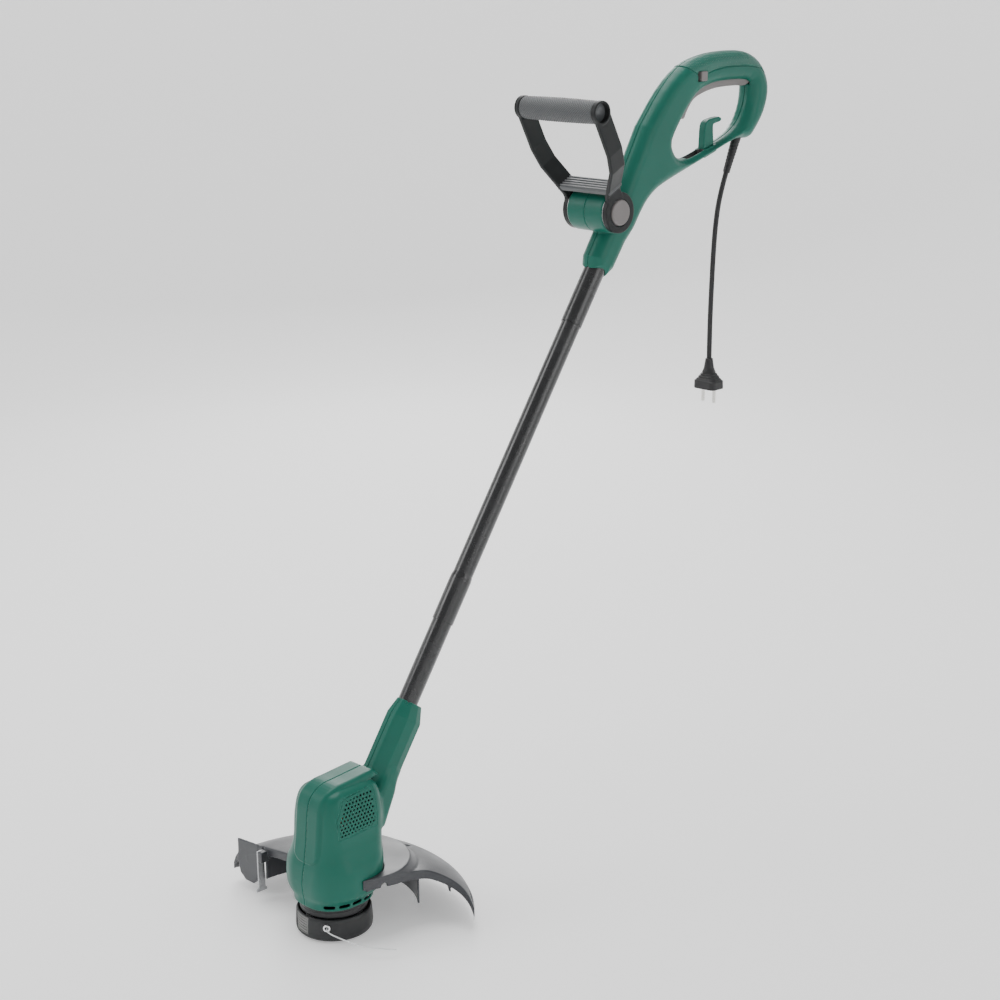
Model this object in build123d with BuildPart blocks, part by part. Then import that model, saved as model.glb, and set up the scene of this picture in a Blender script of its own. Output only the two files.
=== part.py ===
from build123d import *
import os
from math import atan2, cos, degrees, pi, radians, sin, tan

# Corded string trimmer, in millimetres. +Z is up, +Y points to the user, X = 0 is the mirror plane
# and the origin is the centre of the underside of the spool head.
os.makedirs("parts", exist_ok=True)

# ---------------------------------------------------------------- driving dimensions
SHAFT_TILT = 34.26          # shaft from the vertical, degrees
SHAFT_Y0 = -46.4            # where the shaft axis meets the ground plane
TUBE_R = 12.5               # plain tube
TUBE_WALL = 1.2
SOCKET_R = 13.6             # swaged socket that takes the next tube
SOCKET_BORE_R = 12.52
FIT = 0.05                  # running clearance, radial
WALL = 2.8                  # moulded shells
SCREW_WELL_R = 3.65

# stations along the shaft axis
TUBE_START = 216.0
NECK_START = 150.0
NECK_CHAMFER = 292.0
NECK_END = 307.0
LOWER_SOCKET = (413.0, 477.0)
UPPER_SOCKET = 820.0
MIDDLE_TUBE_END = 880.0
UPPER_TUBE_END = 1004.0
HANDLE_START = 893.0

# front handle
HUB_Y = 464.7
HUB_Z = 815.7
BARREL_R = 26.5
BARREL_HALF = 29.5
SPIGOT_R = 19.5
SPIGOT_BORE_R = 17.0
SPIGOT_END = 35.5
RING_R = 25.7
RING_FACES = (30.0, 37.4)
BUTTON_R = 16.45
BUTTON_END = 39.4
GRIP_Y = 398.7
GRIP_Z = 943.8
GRIP_HALF = 67.4
GRIP_R = 14.4
GRIP_BORE_R = 12.0
STRAP_WIDTH = 26.0
STRAP_THICKNESS = 5.5

# rear handle
HANDLE_HALF = 17.5
TRIGGER_HALF = 6.8
TRIGGER_PIN = (748.0, 966.0)
LOCK_CENTRE = (646.0, 970.5)
LOCK_SIZE = (12.0, 12.6)
LOCK_TRAVEL = 5.0

# motor, on the vertical axis of the head
MOTOR_SHAFT_R = 4.0
CORE_Z = (106.0, 146.0)
CORE_R = 30.0
ARMATURE_R = 17.4
LOWER_BRACKET_Z = (92.0, 97.0)
UPPER_BRACKET_Z = (164.0, 168.0)
BEARING_R = 11.0

# spool head
CUP_R = 46.6
CUP_Z = (2.0, 30.0)
CUP_WALL = 2.6
HUB_DISC_R = 41.0
HUB_DISC_Z = (30.4, 41.6)
TAP_R = 15.0
TAP_TRAVEL = 4.0
LATCH_ANGLE = -100.0        # from +X, degrees; the second latch is opposite
LATCH_WIDTH = 26.0
LATCH_Z = (6.5, 29.0)
EYELET_ANGLE = -51.3
EYELET_Z = 20.5

# guard
GUARD_Y = -15.0
GUARD_R = 180.0
GUARD_WALL = 3.0
PLATEAU_Z = 79.0

# mains lead
LEAD_R = 3.5
LEAD_EXIT = (0.0, 735.5, 883.9)
SLEEVE_LENGTH = 48.0
SLEEVE_TILT = 23.9          # from straight down, towards -Y, degrees

TILT_S = sin(radians(SHAFT_TILT))
TILT_C = cos(radians(SHAFT_TILT))
SHAFT = Plane(origin=(0, SHAFT_Y0, 0), x_dir=(1, 0, 0), z_dir=(0, TILT_S, TILT_C))


def at(along, across):
    """(y, z) of a point given along the shaft axis and across it, + towards the underside."""
    return (SHAFT_Y0 + along * TILT_S + across * TILT_C, along * TILT_C - across * TILT_S)


def save(solid, label):
    solid.label = label
    export_step(solid, f"parts/{label}.step")


def rod(plane, radius, length, bore=0.0):
    """A round bar or tube that starts on a plane and runs along its normal."""
    with BuildPart() as bar:
        with BuildSketch(plane):
            Circle(radius)
            if bore:
                Circle(bore, mode=Mode.SUBTRACT)
        extrude(amount=length)
    return bar.part


def x_plane(x, y, z):
    """A plane across X at a point."""
    return Plane(origin=(x, y, z), x_dir=(0, 1, 0), z_dir=(1, 0, 0))


def left_plane(x, y, z):
    """A plane across X at a point, facing -X."""
    return Plane(origin=(x, y, z), x_dir=(0, 1, 0), z_dir=(-1, 0, 0))


def block(centre, size):
    """A plain box round a centre point."""
    with BuildPart() as body:
        with Locations(centre):
            Box(*size)
    return body.part


def side_prism(points, half_width, rounding=0.0):
    """A closed (y, z) outline of straight lines, extruded both ways along X."""
    with BuildPart() as body:
        with BuildSketch(Plane.YZ):
            with BuildLine():
                Polyline(*points, close=True)
            make_face()
            if rounding:
                fillet(vertices(), rounding)
        extrude(amount=half_width, both=True)
    return body.part


# ---------------------------------------------------------------- motor housing
# z, half width, front y, rear y, corner radius
HOUSING_SECTIONS = (
    (43.0, 44.6, -44.6, 44.6, 38.0),
    (51.0, 46.0, -45.0, 47.0, 38.0),
    (60.0, 54.0, -46.8, 51.0, 40.0),
    (75.0, 55.5, -47.4, 53.0, 40.0),
    (91.0, 53.5, -44.8, 54.0, 36.0),
    (106.0, 45.5, -40.0, 55.0, 28.0),
    (122.0, 39.8, -36.0, 55.5, 20.0),
    (150.0, 38.4, -33.0, 56.0, 17.0),
    (170.0, 36.0, -29.5, 54.0, 16.0),
    (181.0, 31.5, -24.0, 50.0, 14.0),
    (187.0, 25.0, -14.0, 42.0, 11.0),
)
# front and top of the raised band, (y, z)
BAND_FRONT = (
    (-43.4, 99.0),
    (-39.6, 124.0),
    (-37.0, 150.0),
    (-34.0, 169.0),
    (-26.5, 181.5),
    (-11.6, 189.4),
    (12.0, 191.6),
    (49.0, 194.6),
)
BAND_HALF = 22.5
NECK_OUTLINE = ((-7, -19), (7, -19), (18, -6), (19.5, 8), (17, 19.5), (-17, 19.5), (-19.5, 8), (-18, -6))


def housing_body(inset):
    with BuildPart() as body:
        for z, half, front, rear, corner in HOUSING_SECTIONS:
            height = z - inset if z > HOUSING_SECTIONS[0][0] else z
            with BuildSketch(Plane.XY.offset(height)):
                with Locations((0, (front + rear) / 2)):
                    width, depth = 2 * (half - inset), rear - front - 2 * inset
                    RectangleRounded(width, depth, corner - min(inset, 0.0) - inset)
        loft()
    return body.part


def housing_neck(inset):
    with BuildPart() as neck:
        with BuildSketch(SHAFT.offset(NECK_START + inset)):
            with BuildLine():
                Polyline(*NECK_OUTLINE, close=True)
            make_face()
            fillet(vertices(), 4.0)
            if inset:
                offset(amount=-inset)
        extrude(amount=NECK_CHAMFER - NECK_START - inset)
        with BuildSketch(SHAFT.offset(NECK_CHAMFER)):
            with BuildLine():
                Polyline(*NECK_OUTLINE, close=True)
            make_face()
            fillet(vertices(), 4.0)
            if inset:
                offset(amount=-inset)
        with BuildSketch(SHAFT.offset(NECK_END)):
            with BuildLine():
                Polyline(*[(0.76 * x, 0.78 * y) for x, y in NECK_OUTLINE], close=True)
            make_face()
            fillet(vertices(), 3.0)
            if inset:
                offset(amount=-inset)
        loft()
    return neck.part


def housing_shoulder(inset):
    with BuildPart() as shoulder:
        with BuildSketch(SHAFT.offset(158 + inset)):
            with Locations((0, 1)):
                RectangleRounded(2 * (34 - inset), 36 - 2 * inset, 9 - inset)
        with BuildSketch(SHAFT.offset(200)):
            with Locations((0, 5)):
                RectangleRounded(2 * (27 - inset), 28 - 2 * inset, 8 - inset)
        with BuildSketch(SHAFT.offset(226 - inset)):
            with Locations((0, 8)):
                RectangleRounded(2 * (19 - inset), 20 - 2 * inset, 6 - inset)
        loft()
    return shoulder.part


def housing_band(inset):
    front = [(y + inset, z - inset) for y, z in BAND_FRONT]
    with BuildPart() as band:
        with BuildSketch(Plane.YZ):
            with BuildLine():
                edge = Spline(*front)
                Polyline(edge @ 1, (62, 176), (0, 172), (-20, 150), (-24, 99 - inset), edge @ 0)
            make_face()
        extrude(amount=BAND_HALF - inset, both=True)
        outer = band.edges().filter_by_position(Axis.X, BAND_HALF - inset - 0.01, BAND_HALF)
        outer += band.edges().filter_by_position(Axis.X, -BAND_HALF, -(BAND_HALF - inset - 0.01))
        fillet(outer.filter_by(GeomType.BSPLINE), 3.6 - min(inset, 2.6))
        with BuildSketch(Plane.XZ.offset(-100)):
            with Locations((0, 150)):
                RectangleRounded(2 * BAND_HALF + 6, 104, 24)
        extrude(amount=200, mode=Mode.INTERSECT)
    return band.part


def housing_form(inset):
    return housing_body(inset) + housing_neck(inset) + housing_shoulder(inset) + housing_band(inset)


HOUSING_SCREWS = ((44.0, 62.0), (44.0, 112.0), (-14.0, 177.0))
GUARD_SCREW_ANGLES = (20.0, 90.0, 160.0)
GUARD_SCREW_Z = 66.0

right_side = block((100, 60, 160), (200, 400, 400))
housing_outer = housing_form(0.0) & right_side
housing_cavity = housing_body(WALL) & right_side
shelf_cut = rod(Plane.XY.offset(LOWER_BRACKET_Z[0] - 1), CORE_R, 20)
lower_shelf = (housing_cavity & block((0, 0, 96.0), (200, 200, 8))) - shelf_cut
core_shelf = (housing_cavity & block((0, 0, 126.0), (200, 200, 10))) - rod(Plane.XY.offset(119), CORE_R, 14)
top_shelf = (housing_cavity & block((0, 0, 166.0), (200, 200, 6))) - rod(Plane.XY.offset(162), 24.0, 8)
tube_bore = rod(SHAFT.offset(TUBE_START), TUBE_R + 0.02, NECK_END - TUBE_START + 2)
wire_bore = rod(SHAFT.offset(NECK_START - 10), 8.0, TUBE_START - NECK_START + 11)
housing = housing_outer - housing_cavity - tube_bore
housing = housing + lower_shelf + core_shelf + top_shelf - wire_bore


def exhaust_slot(angle):
    """A rounded slot through the bottom ring of the housing; angle from -Y towards +X."""
    direction = Vector(sin(radians(angle)), -cos(radians(angle)), 0)
    start = direction * 36 + Vector(0, 0, 48.0)
    plane = Plane(origin=start, x_dir=(-direction.Y, direction.X, 0), z_dir=direction)
    with BuildPart() as slot:
        with BuildSketch(plane):
            SlotOverall(14.0, 4.2)
        extrude(amount=20)
    return slot.part


slots = [exhaust_slot(44 + 22.5 * i) for i in range(5)]
housing = housing - slots


def screw(plane, length, head_r=3.6, head_h=2.4, shank_r=1.6):
    """A pan-head screw: its head sits on the plane, its shank runs against the normal."""
    with BuildPart() as fastener:
        with BuildSketch(plane):
            Circle(head_r)
        extrude(amount=head_h)
        with BuildSketch(plane):
            Circle(shank_r)
        extrude(amount=-length)
    return fastener.part


def save_shells(half, wells, screws, left_label, right_label):
    """Writes a moulding's two shells from its +X half; the screw heads lie on the -X side."""
    save(half - screws, right_label)
    save(mirror(half, about=Plane.YZ) - wells - screws, left_label)


def cross_screws(places, near_x, far_x):
    """Screws along X through both shells: heads at near_x on the -X side, tips at far_x."""
    return [screw(left_plane(near_x, y, z), far_x - near_x) for y, z in places]


# bosses for the housing screws, with the holes that the screws fill
with BuildPart() as housing_bosses:
    for y, z in HOUSING_SCREWS:
        with BuildSketch(Plane.YZ):
            with Locations((y, z)):
                Circle(4.6)
        extrude(amount=24)
housing = housing + (housing_bosses.part & housing_cavity)
housing_screw_set = cross_screws(HOUSING_SCREWS, -24.0, 14.0)
screw_wells = [rod(left_plane(-24.0, y, z), SCREW_WELL_R, 40) for y, z in HOUSING_SCREWS]

# ---------------------------------------------------------------- guard
# radius from the guard's own axis, height of the top surface
DOME = ((40.0, 77.5), (62.0, 77.0), (94.0, 73.0), (128.0, 67.0), (155.0, 55.0), (172.0, 42.0),
        (GUARD_R, 28.0))
# the concave right-hand edge, from the rim tip in to the housing
RIGHT_EDGE = ((142.0, 98.0), (131.0, 108.0), (121.0, 111.0), (108.0, 111.0), (95.0, 106.0), (84.0, 97.0),
              (73.0, 83.0), (67.5, 58.0), (66.0, 32.0), (61.0, 8.0), (57.0, -1.0))
LEFT_EDGE_Y = -14.0


def guard_plan(inset, base, height):
    """The guard's outline seen from above, as a tall prism."""
    rim = GUARD_R - inset
    left = LEFT_EDGE_Y + inset
    with BuildPart() as prism:
        with BuildSketch(Plane.XY.offset(base)):
            with BuildLine():
                tip = RIGHT_EDGE[0]
                swing = degrees(atan2(tip[1] - GUARD_Y, tip[0]))
                rim_tip = (rim * cos(radians(swing)), GUARD_Y + rim * sin(radians(swing)))
                middle = (rim * cos(radians(110)), GUARD_Y + rim * sin(radians(110)))
                ThreePointArc((-rim, left), middle, rim_tip)
                inner = [(x - 0.6 * inset, y + inset) for x, y in RIGHT_EDGE[2:]]
                Polyline(rim_tip, *inner, (0, left), (-rim, left))
            make_face()
        extrude(amount=height)
    return prism.part


def dome_shell(depth):
    """The domed skin: everything down to a depth under the top surface."""
    with BuildPart() as skin:
        with BuildSketch(Plane.XZ):
            with BuildLine():
                under = [(r - 0.12 * depth, z - depth) for r, z in reversed(DOME)]
                Polyline(*DOME, *under, close=True)
            make_face()
        revolve(axis=Axis.Z)
    return skin.part.move(Location((0, GUARD_Y, 0)))


guard_prism = guard_plan(0.0, 5.0, 90.0)
guard_inner_prism = guard_plan(GUARD_WALL, 4.0, 92.0)
with BuildPart() as plateau:
    with BuildSketch(Plane.XY.offset(69)):
        with Locations((0, 35)):
            Circle(67.0)
    extrude(amount=PLATEAU_Z - 69)
    chamfer(plateau.faces().sort_by(Axis.Z)[-1].edges(), 2.5)
guard_skin = (dome_shell(GUARD_WALL) + plateau.part) & guard_prism
guard_flange = (dome_shell(10.0) & (guard_prism - guard_inner_prism)) & block((0, 0, 65), (500, 500, 76))
collar_slab = block((0, 63, 66.5), (130, 120, 21))
guard_collar = ((housing_body(-4.2) & collar_slab) & guard_prism)


def ring_rib(radius, depth):
    """A rib under the dome, on a circle round the guard's axis."""
    ring = rod(Plane(origin=(0, GUARD_Y, 10)), radius + 2.5, 90, bore=radius)
    return (ring & dome_shell(depth)) & guard_prism


# flap that hangs under the left edge and holds the line cutter
flap_profile = ((-169, 60), (-170, 30), (-166, 18), (-156, 11), (-140, 11), (-132, 18), (-129, 30),
                (-128, 64))
with BuildPart() as guard_flap:
    with BuildSketch(Plane.XZ.offset(-LEFT_EDGE_Y)):
        with BuildLine():
            Polyline(*flap_profile, close=True)
        make_face()
        fillet(vertices().filter_by_position(Axis.Y, 9, 31), 5.0)
    extrude(amount=-2.6)
cutter_leg = block((-117.0, -19.5, 47.0), (3.0, 13.0, 46.0))
cutter_pad = block((-117.0, -9.5, 60.0), (12.0, 9.0, 12.0))
guard = guard_skin + guard_flange + guard_collar + ring_rib(112.0, 40.0) + ring_rib(150.0, 16.0)
guard = guard + guard_flap.part + cutter_pad
guard = guard - housing_body(-0.3)
guard_bolts = []
for angle in GUARD_SCREW_ANGLES:
    direction = Vector(cos(radians(angle)), sin(radians(angle)), 0)
    seat = direction * 58.6 + Vector(0, 2, GUARD_SCREW_Z)
    bolt_plane = Plane(origin=seat, x_dir=(0, 0, 1), z_dir=direction)
    guard_bolts.append(screw(bolt_plane, 11.0))
    guard = guard - rod(bolt_plane, 4.2, 30)
bolt_bosses = [rod(Plane(origin=(0, 2, GUARD_SCREW_Z), x_dir=(0, 0, 1),
                         z_dir=(cos(radians(a)), sin(radians(a)), 0)).offset(40), 4.0, 20)
               for a in GUARD_SCREW_ANGLES]
for boss in bolt_bosses:
    housing = housing + (boss & housing_cavity)
guard = guard - guard_bolts - [block((-117.0, -19.5, 47.0), (3.02, 13.0, 60.0))]
with BuildPart() as cutter:
    with BuildSketch(Plane.YZ.offset(-118.0)):
        with BuildLine():
            Polyline((-26.5, 12), (-11.0, 12), (-11.0, 15), (-13.5, 17), (-13.5, 66), (-23.5, 66),
                     (-23.5, 17), (-26.5, 15), close=True)
        make_face()
    extrude(amount=2.0)
cutter_blade = cutter.part
cutter_plane = Plane(origin=(-118.0, -18.0, 58.0), x_dir=(0, 1, 0), z_dir=(-1, 0, 0))
cutter_bolt = screw(cutter_plane, 6.0, head_r=3.0, head_h=1.8, shank_r=1.5)
cutter_lug = block((-112.0, -18.0, 60.0), (8.0, 12.0, 14.0)) & dome_shell(40.0)
guard = guard + cutter_lug
guard = guard - [cutter_bolt, cutter_blade]
cutter_blade = cutter_blade - cutter_bolt

# ---------------------------------------------------------------- tubes and wire
lower_tube_length = LOWER_SOCKET[1] - 8.5 - TUBE_START
lower_tube = rod(SHAFT.offset(TUBE_START), TUBE_R, lower_tube_length, bore=TUBE_R - TUBE_WALL)
with BuildPart() as middle_tube:
    with BuildSketch(SHAFT.offset(LOWER_SOCKET[0])):
        Circle(SOCKET_R)
        Circle(SOCKET_BORE_R, mode=Mode.SUBTRACT)
    extrude(amount=LOWER_SOCKET[1] - LOWER_SOCKET[0] - 6)
    with BuildSketch(SHAFT.offset(LOWER_SOCKET[1] - 6)):
        Circle(SOCKET_R)
        Circle(TUBE_R - TUBE_WALL, mode=Mode.SUBTRACT)
    with BuildSketch(SHAFT.offset(LOWER_SOCKET[1])):
        Circle(TUBE_R)
        Circle(TUBE_R - TUBE_WALL, mode=Mode.SUBTRACT)
    loft()
    with BuildSketch(SHAFT.offset(LOWER_SOCKET[1])):
        Circle(TUBE_R)
        Circle(TUBE_R - TUBE_WALL, mode=Mode.SUBTRACT)
    extrude(amount=MIDDLE_TUBE_END - LOWER_SOCKET[1])
with BuildPart() as upper_tube:
    with BuildSketch(SHAFT.offset(UPPER_SOCKET)):
        Circle(SOCKET_R)
        Circle(SOCKET_BORE_R, mode=Mode.SUBTRACT)
    extrude(amount=UPPER_TUBE_END - UPPER_SOCKET)

# ---------------------------------------------------------------- rear handle
HANDLE_CREST = ((542, 915), (579, 957), (617, 985), (657, 996), (698, 999.4), (740, 997.4), (768, 985),
                (784.5, 964), (788.5, 941), (780, 915), (762, 892), (749, 883.4))
HANDLE_BELLY = ((722, 883), (652, 861), (588, 841), (561, 830), (541, 814), (521, 787))
HANDLE_LOOP = ((594, 892), (598, 877), (610, 868.5), (630, 867), (662, 875.5), (701, 886.5), (729, 901),
               (745, 922), (751, 947), (744, 959), (694, 960.7), (666, 957.2), (645, 949.5), (627, 935),
               (611, 917))


def handle_form(inset):
    """The +X half of the rear handle: its side outline with the hand opening, thickened."""
    half = HANDLE_HALF - inset
    lower_end = (at(HANDLE_START, 13.0), at(HANDLE_START, -14.0), at(906, -21.0), at(1004, -23.0))
    with BuildPart() as form:
        with BuildSketch(Plane.YZ):
            with BuildLine():
                Polyline(*lower_end, *HANDLE_CREST, *HANDLE_BELLY, at(946, 21.5), at(908, 20.5), close=True)
            make_face()
            fillet(vertices(), 3.0)
            if inset:
                offset(amount=-inset)
        extrude(amount=half)
        with BuildSketch(Plane.YZ):
            with BuildLine():
                Polyline(*HANDLE_LOOP, close=True)
            make_face()
            fillet(vertices(), 4.0)
            if inset:
                offset(amount=inset)
        extrude(amount=half, mode=Mode.SUBTRACT)
    return form.part


barrel_plane = Plane(origin=(0, HUB_Y, HUB_Z), x_dir=(0, 1, 0), z_dir=(1, 0, 0))


def hub_cylinder(radius, first, last):
    """A cylinder on the hub axis between two X stations."""
    return rod(barrel_plane.offset(first), radius, last - first)


handle = handle_form(0.0)
upper_half_space = side_prism((at(1008, -60), at(1008, 60), (800, 760), (860, 1040), (540, 1040)), 40.0)
handle_cavity = handle_form(WALL) & upper_half_space
barrel = hub_cylinder(BARREL_R, 0, BARREL_HALF)
spigot = hub_cylinder(SPIGOT_R, 0, SPIGOT_END)
handle = (handle - handle_cavity) + barrel + spigot
handle = handle - rod(SHAFT.offset(HANDLE_START - 2), SOCKET_R + 0.02, UPPER_TUBE_END - HANDLE_START + 2)
handle = handle - hub_cylinder(SPIGOT_BORE_R, 8.0, 60.0)
handle = handle - rod(SHAFT.offset(UPPER_TUBE_END - 2), 9.0, 12)

# trigger: a bar under the top grip, hinged at its rear end
TRIGGER_OUTLINE = ((621, 917.5), (626, 925.5), (632.5, 934), (641, 941.5), (655, 947), (674, 951.3),
                   (695, 953.4), (726, 953.6), (744, 952.6), (756, 958.5), (756, 972), (742, 974),
                   (728, 967), (690, 965.5), (660, 961), (641, 953.5), (629, 944.5), (620.5, 934),
                   (614, 923), (614.5, 919.5))
TRIGGER_SLOT = ((623, 913), (650, 940), (742, 950), (742, 952), (760.5, 955), (760.5, 977.5),
                (726, 975.5), (690, 973.5), (658, 969.5), (638, 962.5), (626.5, 953), (617, 943),
                (610, 931), (609.5, 921), (612.5, 915))
trigger_pin_plane = Plane(origin=(0, *TRIGGER_PIN), x_dir=(0, 1, 0), z_dir=(1, 0, 0))
trigger = side_prism(TRIGGER_OUTLINE, TRIGGER_HALF)
trigger = trigger - rod(trigger_pin_plane.offset(-12), 2.0 + FIT, 24)
trigger_pin = rod(trigger_pin_plane.offset(-11), 2.0, 22)
handle = handle - side_prism(TRIGGER_SLOT, TRIGGER_HALF + 0.6)
trigger_boss = rod(trigger_pin_plane.offset(7.6), 5.0, 7.2)
handle = handle + (trigger_boss & handle_form(WALL - 0.5)) - trigger_pin

# lock-off slider: a bar right through the grip, pushed forward by either thumb
lock_slot_size = (LOCK_SIZE[0] + LOCK_TRAVEL + 1.0, LOCK_SIZE[1] + 0.5)
lock_slot = block((0, LOCK_CENTRE[0] - LOCK_TRAVEL / 2, LOCK_CENTRE[1]), (60, *lock_slot_size))
handle = handle - lock_slot
with BuildPart() as lock_off_slider:
    with Locations((0, *LOCK_CENTRE)):
        Box(2 * HANDLE_HALF + 3.0, *LOCK_SIZE)
    chamfer(lock_off_slider.edges().filter_by_position(Axis.X, 18.9, 19.1), 1.2)
    chamfer(lock_off_slider.edges().filter_by_position(Axis.X, -19.1, -18.9), 1.2)
    for side in (-1, 1):
        for step in (-3.0, 0.0, 3.0):
            with Locations((side * 19.0, LOCK_CENTRE[0] + step, LOCK_CENTRE[1])):
                Box(0.9, 1.0, 8.5, mode=Mode.SUBTRACT)

# switch under the slider, cord loop hook and slot, cord clamp
power_switch = block((0, 682.0, 981.0), (15.0, 28.0, 13.0)) + block((0, 674.0, 974.0), (5.0, 5.0, 2.4))
switch_cradle = block((0, 682.0, 983.0), (31.0, 20.0, 4.0)) & handle_cavity
handle = handle + switch_cradle - power_switch
cord_slot_points = ((627.0, 840.0), (663.0, 850.0), (663.0, 900.0), (627.0, 890.0))
cord_slot = side_prism(cord_slot_points, 6.0)
cord_slot_wall = side_prism(((623, 835), (667, 845), (667, 905), (623, 895)), 8.5) & handle_form(0.0)
handle = handle + cord_slot_wall - cord_slot
HOOK_OUTLINE = ((664, 867.5), (663.5, 891), (665, 906), (670, 911.6), (678, 913.6), (694, 915.2),
                (698.5, 911.4), (694, 908.6), (683, 906.6), (681.5, 900), (681.5, 870.5))
hook_half = 5.4
with BuildPart() as cable_hook:
    with BuildSketch(Plane.YZ):
        with BuildLine():
            Polyline(*HOOK_OUTLINE, close=True)
        make_face()
        fillet(vertices().filter_by_position(Axis.Y, 895, 920), 1.4)
    extrude(amount=hook_half, both=True)
hook_seat = block((0, 672.5, 872.0), (18.0, 24.0, 26.0)) & handle_form(0.0)
handle = handle + hook_seat - cable_hook.part - cord_slot

# mains lead: strain relief, clamp and the lead's own route
sleeve_direction = Vector(0, -sin(radians(SLEEVE_TILT)), -cos(radians(SLEEVE_TILT)))
sleeve_start = Vector(*LEAD_EXIT)
sleeve_plane = Plane(origin=sleeve_start, x_dir=(1, 0, 0), z_dir=sleeve_direction)
with BuildPart() as cord_sleeve:
    with BuildSketch(sleeve_plane):
        Circle(6.4)
    with BuildSketch(sleeve_plane.offset(SLEEVE_LENGTH)):
        Circle(4.7)
    loft()
    with BuildSketch(sleeve_plane.offset(-12)):
        Circle(6.4)
    extrude(amount=12)
    with BuildSketch(sleeve_plane.offset(-9)):
        Circle(9.0)
    extrude(amount=4)
    with BuildSketch(sleeve_plane.offset(-13)):
        Circle(LEAD_R)
    extrude(amount=SLEEVE_LENGTH + 14, mode=Mode.SUBTRACT)
sleeve_seat = rod(sleeve_plane.offset(-15), 12.0, 26) & handle_form(0.0)
cord_sleeve_hole = rod(sleeve_plane.offset(-12), 6.4, 40) + rod(sleeve_plane.offset(-9), 9.0, 4)
handle = handle + sleeve_seat - cord_sleeve_hole - rod(sleeve_plane.offset(-30), 4.2, 32)
sleeve_end = sleeve_start + sleeve_direction * SLEEVE_LENGTH
LEAD_ROUTE = (
    (0.0, sleeve_end.Y, sleeve_end.Z),
    (0.4, 703.2, 811.0),
    (1.4, 694.4, 774.0),
    (2.0, 690.0, 731.0),
    (1.2, 688.6, 684.0),
    (-1.0, 689.4, 636.0),
    (-1.0, 689.4, 592.0),
)


def bend_radii(route):
    """Each corner's largest radius: 0.45 of the shorter run over the tangent of half the turn."""
    radii = []
    points = [Vector(*p) for p in route]
    for before, corner, after in zip(points, points[1:], points[2:]):
        turn = (corner - before).get_angle(after - corner)
        run = min((corner - before).length, (after - corner).length)
        radii.append(0.45 * run / tan(radians(turn) / 2))
    return radii


def route_tube(route, radius, label):
    """A round tube along straight runs joined by tangent arcs."""
    radii = bend_radii(route)
    with BuildPart() as tube:
        with BuildLine() as path:
            FilletPolyline(*route, radius=radii)
        centre = path.wires()[0]
        with BuildSketch(Plane(origin=centre @ 0, z_dir=centre % 0)):
            Circle(radius)
        sweep(path=centre)
    ratio = tube.part.volume / (pi * radius * radius * centre.length)
    print(label, "radii", [round(r, 1) for r in radii])
    print(label, "length", round(centre.length, 1), "volume over section times length", round(ratio, 4))
    return tube.part


mains_cord = route_tube(LEAD_ROUTE, LEAD_R, "mains_cord")
inner_lead_plane = Plane(origin=sleeve_end, x_dir=(1, 0, 0), z_dir=-sleeve_direction)
inner_lead = rod(inner_lead_plane, LEAD_R, SLEEVE_LENGTH + 12)
plug_axis = (Vector(*LEAD_ROUTE[-1]) - Vector(*LEAD_ROUTE[-2])).normalized()
plug_plane = Plane(origin=LEAD_ROUTE[-1], x_dir=(1, 0, 0), z_dir=plug_axis)
PIN_SPACING = 19.0
PIN_R = 2.4
PIN_LENGTH = 19.0
PIN_ROOT = 9.0
PLUG_LENGTH = 42.0
with BuildPart() as plug_body:
    with BuildSketch(plug_plane):
        Circle(5.0)
    with BuildSketch(plug_plane.offset(16)):
        Circle(7.5)
    loft()
    with BuildSketch(plug_plane.offset(16)):
        Circle(7.5)
    with BuildSketch(plug_plane.offset(30)):
        RectangleRounded(33, 24, 10)
    loft()
    with BuildSketch(plug_plane.offset(30)):
        RectangleRounded(37, 27, 12)
    extrude(amount=PLUG_LENGTH - 30)


def pin(side):
    """A contact pin: full diameter below the plug's face, a thinner root moulded into it."""
    foot = plug_plane.origin + plug_axis * PLUG_LENGTH + Vector(side * PIN_SPACING / 2, 0, 0)
    face = Plane(origin=foot, x_dir=(1, 0, 0), z_dir=plug_axis)
    return rod(face, PIN_R, PIN_LENGTH) + rod(face.offset(-PIN_ROOT), PIN_R - 0.8, PIN_ROOT + 1)


pins = [pin(side) for side in (-1, 1)]
plug_body = plug_body.part - pins

HANDLE_SCREWS = ((560.0, 868.0), (572.0, 926.0), (722.0, 986.0), (768.0, 925.0), (600.0, 855.0))
with BuildPart() as handle_bosses:
    for y, z in HANDLE_SCREWS:
        with BuildSketch(Plane.YZ):
            with Locations((y, z)):
                Circle(4.4)
        extrude(amount=HANDLE_HALF)
handle_screw_set = cross_screws(HANDLE_SCREWS, -12.0, 12.0)
handle_wells = [rod(left_plane(-12.0, y, z), SCREW_WELL_R, 10) for y, z in HANDLE_SCREWS]
handle = handle + (handle_bosses.part & handle_cavity)

WIRE_ROUTE = (
    (0.0, *at(170, 0)),
    (0.0, *at(1003, 0)),
    (0.0, 560.0, 888.0),
    (0.0, 590.0, 922.0),
    (0.0, 612.0, 957.0),
    (0.0, 634.0, 979.4),
    (0.0, 668.0, 980.6),
)

# ---------------------------------------------------------------- front handle
grip_direction = Vector(0, GRIP_Y - HUB_Y, GRIP_Z - HUB_Z)
GRIP_REACH = grip_direction.length
arm_normal = grip_direction.cross(Vector(-1, 0, 0)).normalized()
ARM = Plane(origin=(0, HUB_Y, HUB_Z), x_dir=(1, 0, 0), z_dir=arm_normal)
# half of the strap's centre line: (x, distance from the hub axis)
ARM_PATH = ((33.7, 12.0), (36.0, 29.0), (47.0, 47.0), (58.5, 66.0), (64.0, 90.0), (64.0, GRIP_REACH))
grip_plane = Plane(origin=(0, GRIP_Y, GRIP_Z), x_dir=(0, 1, 0), z_dir=(1, 0, 0))


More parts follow.
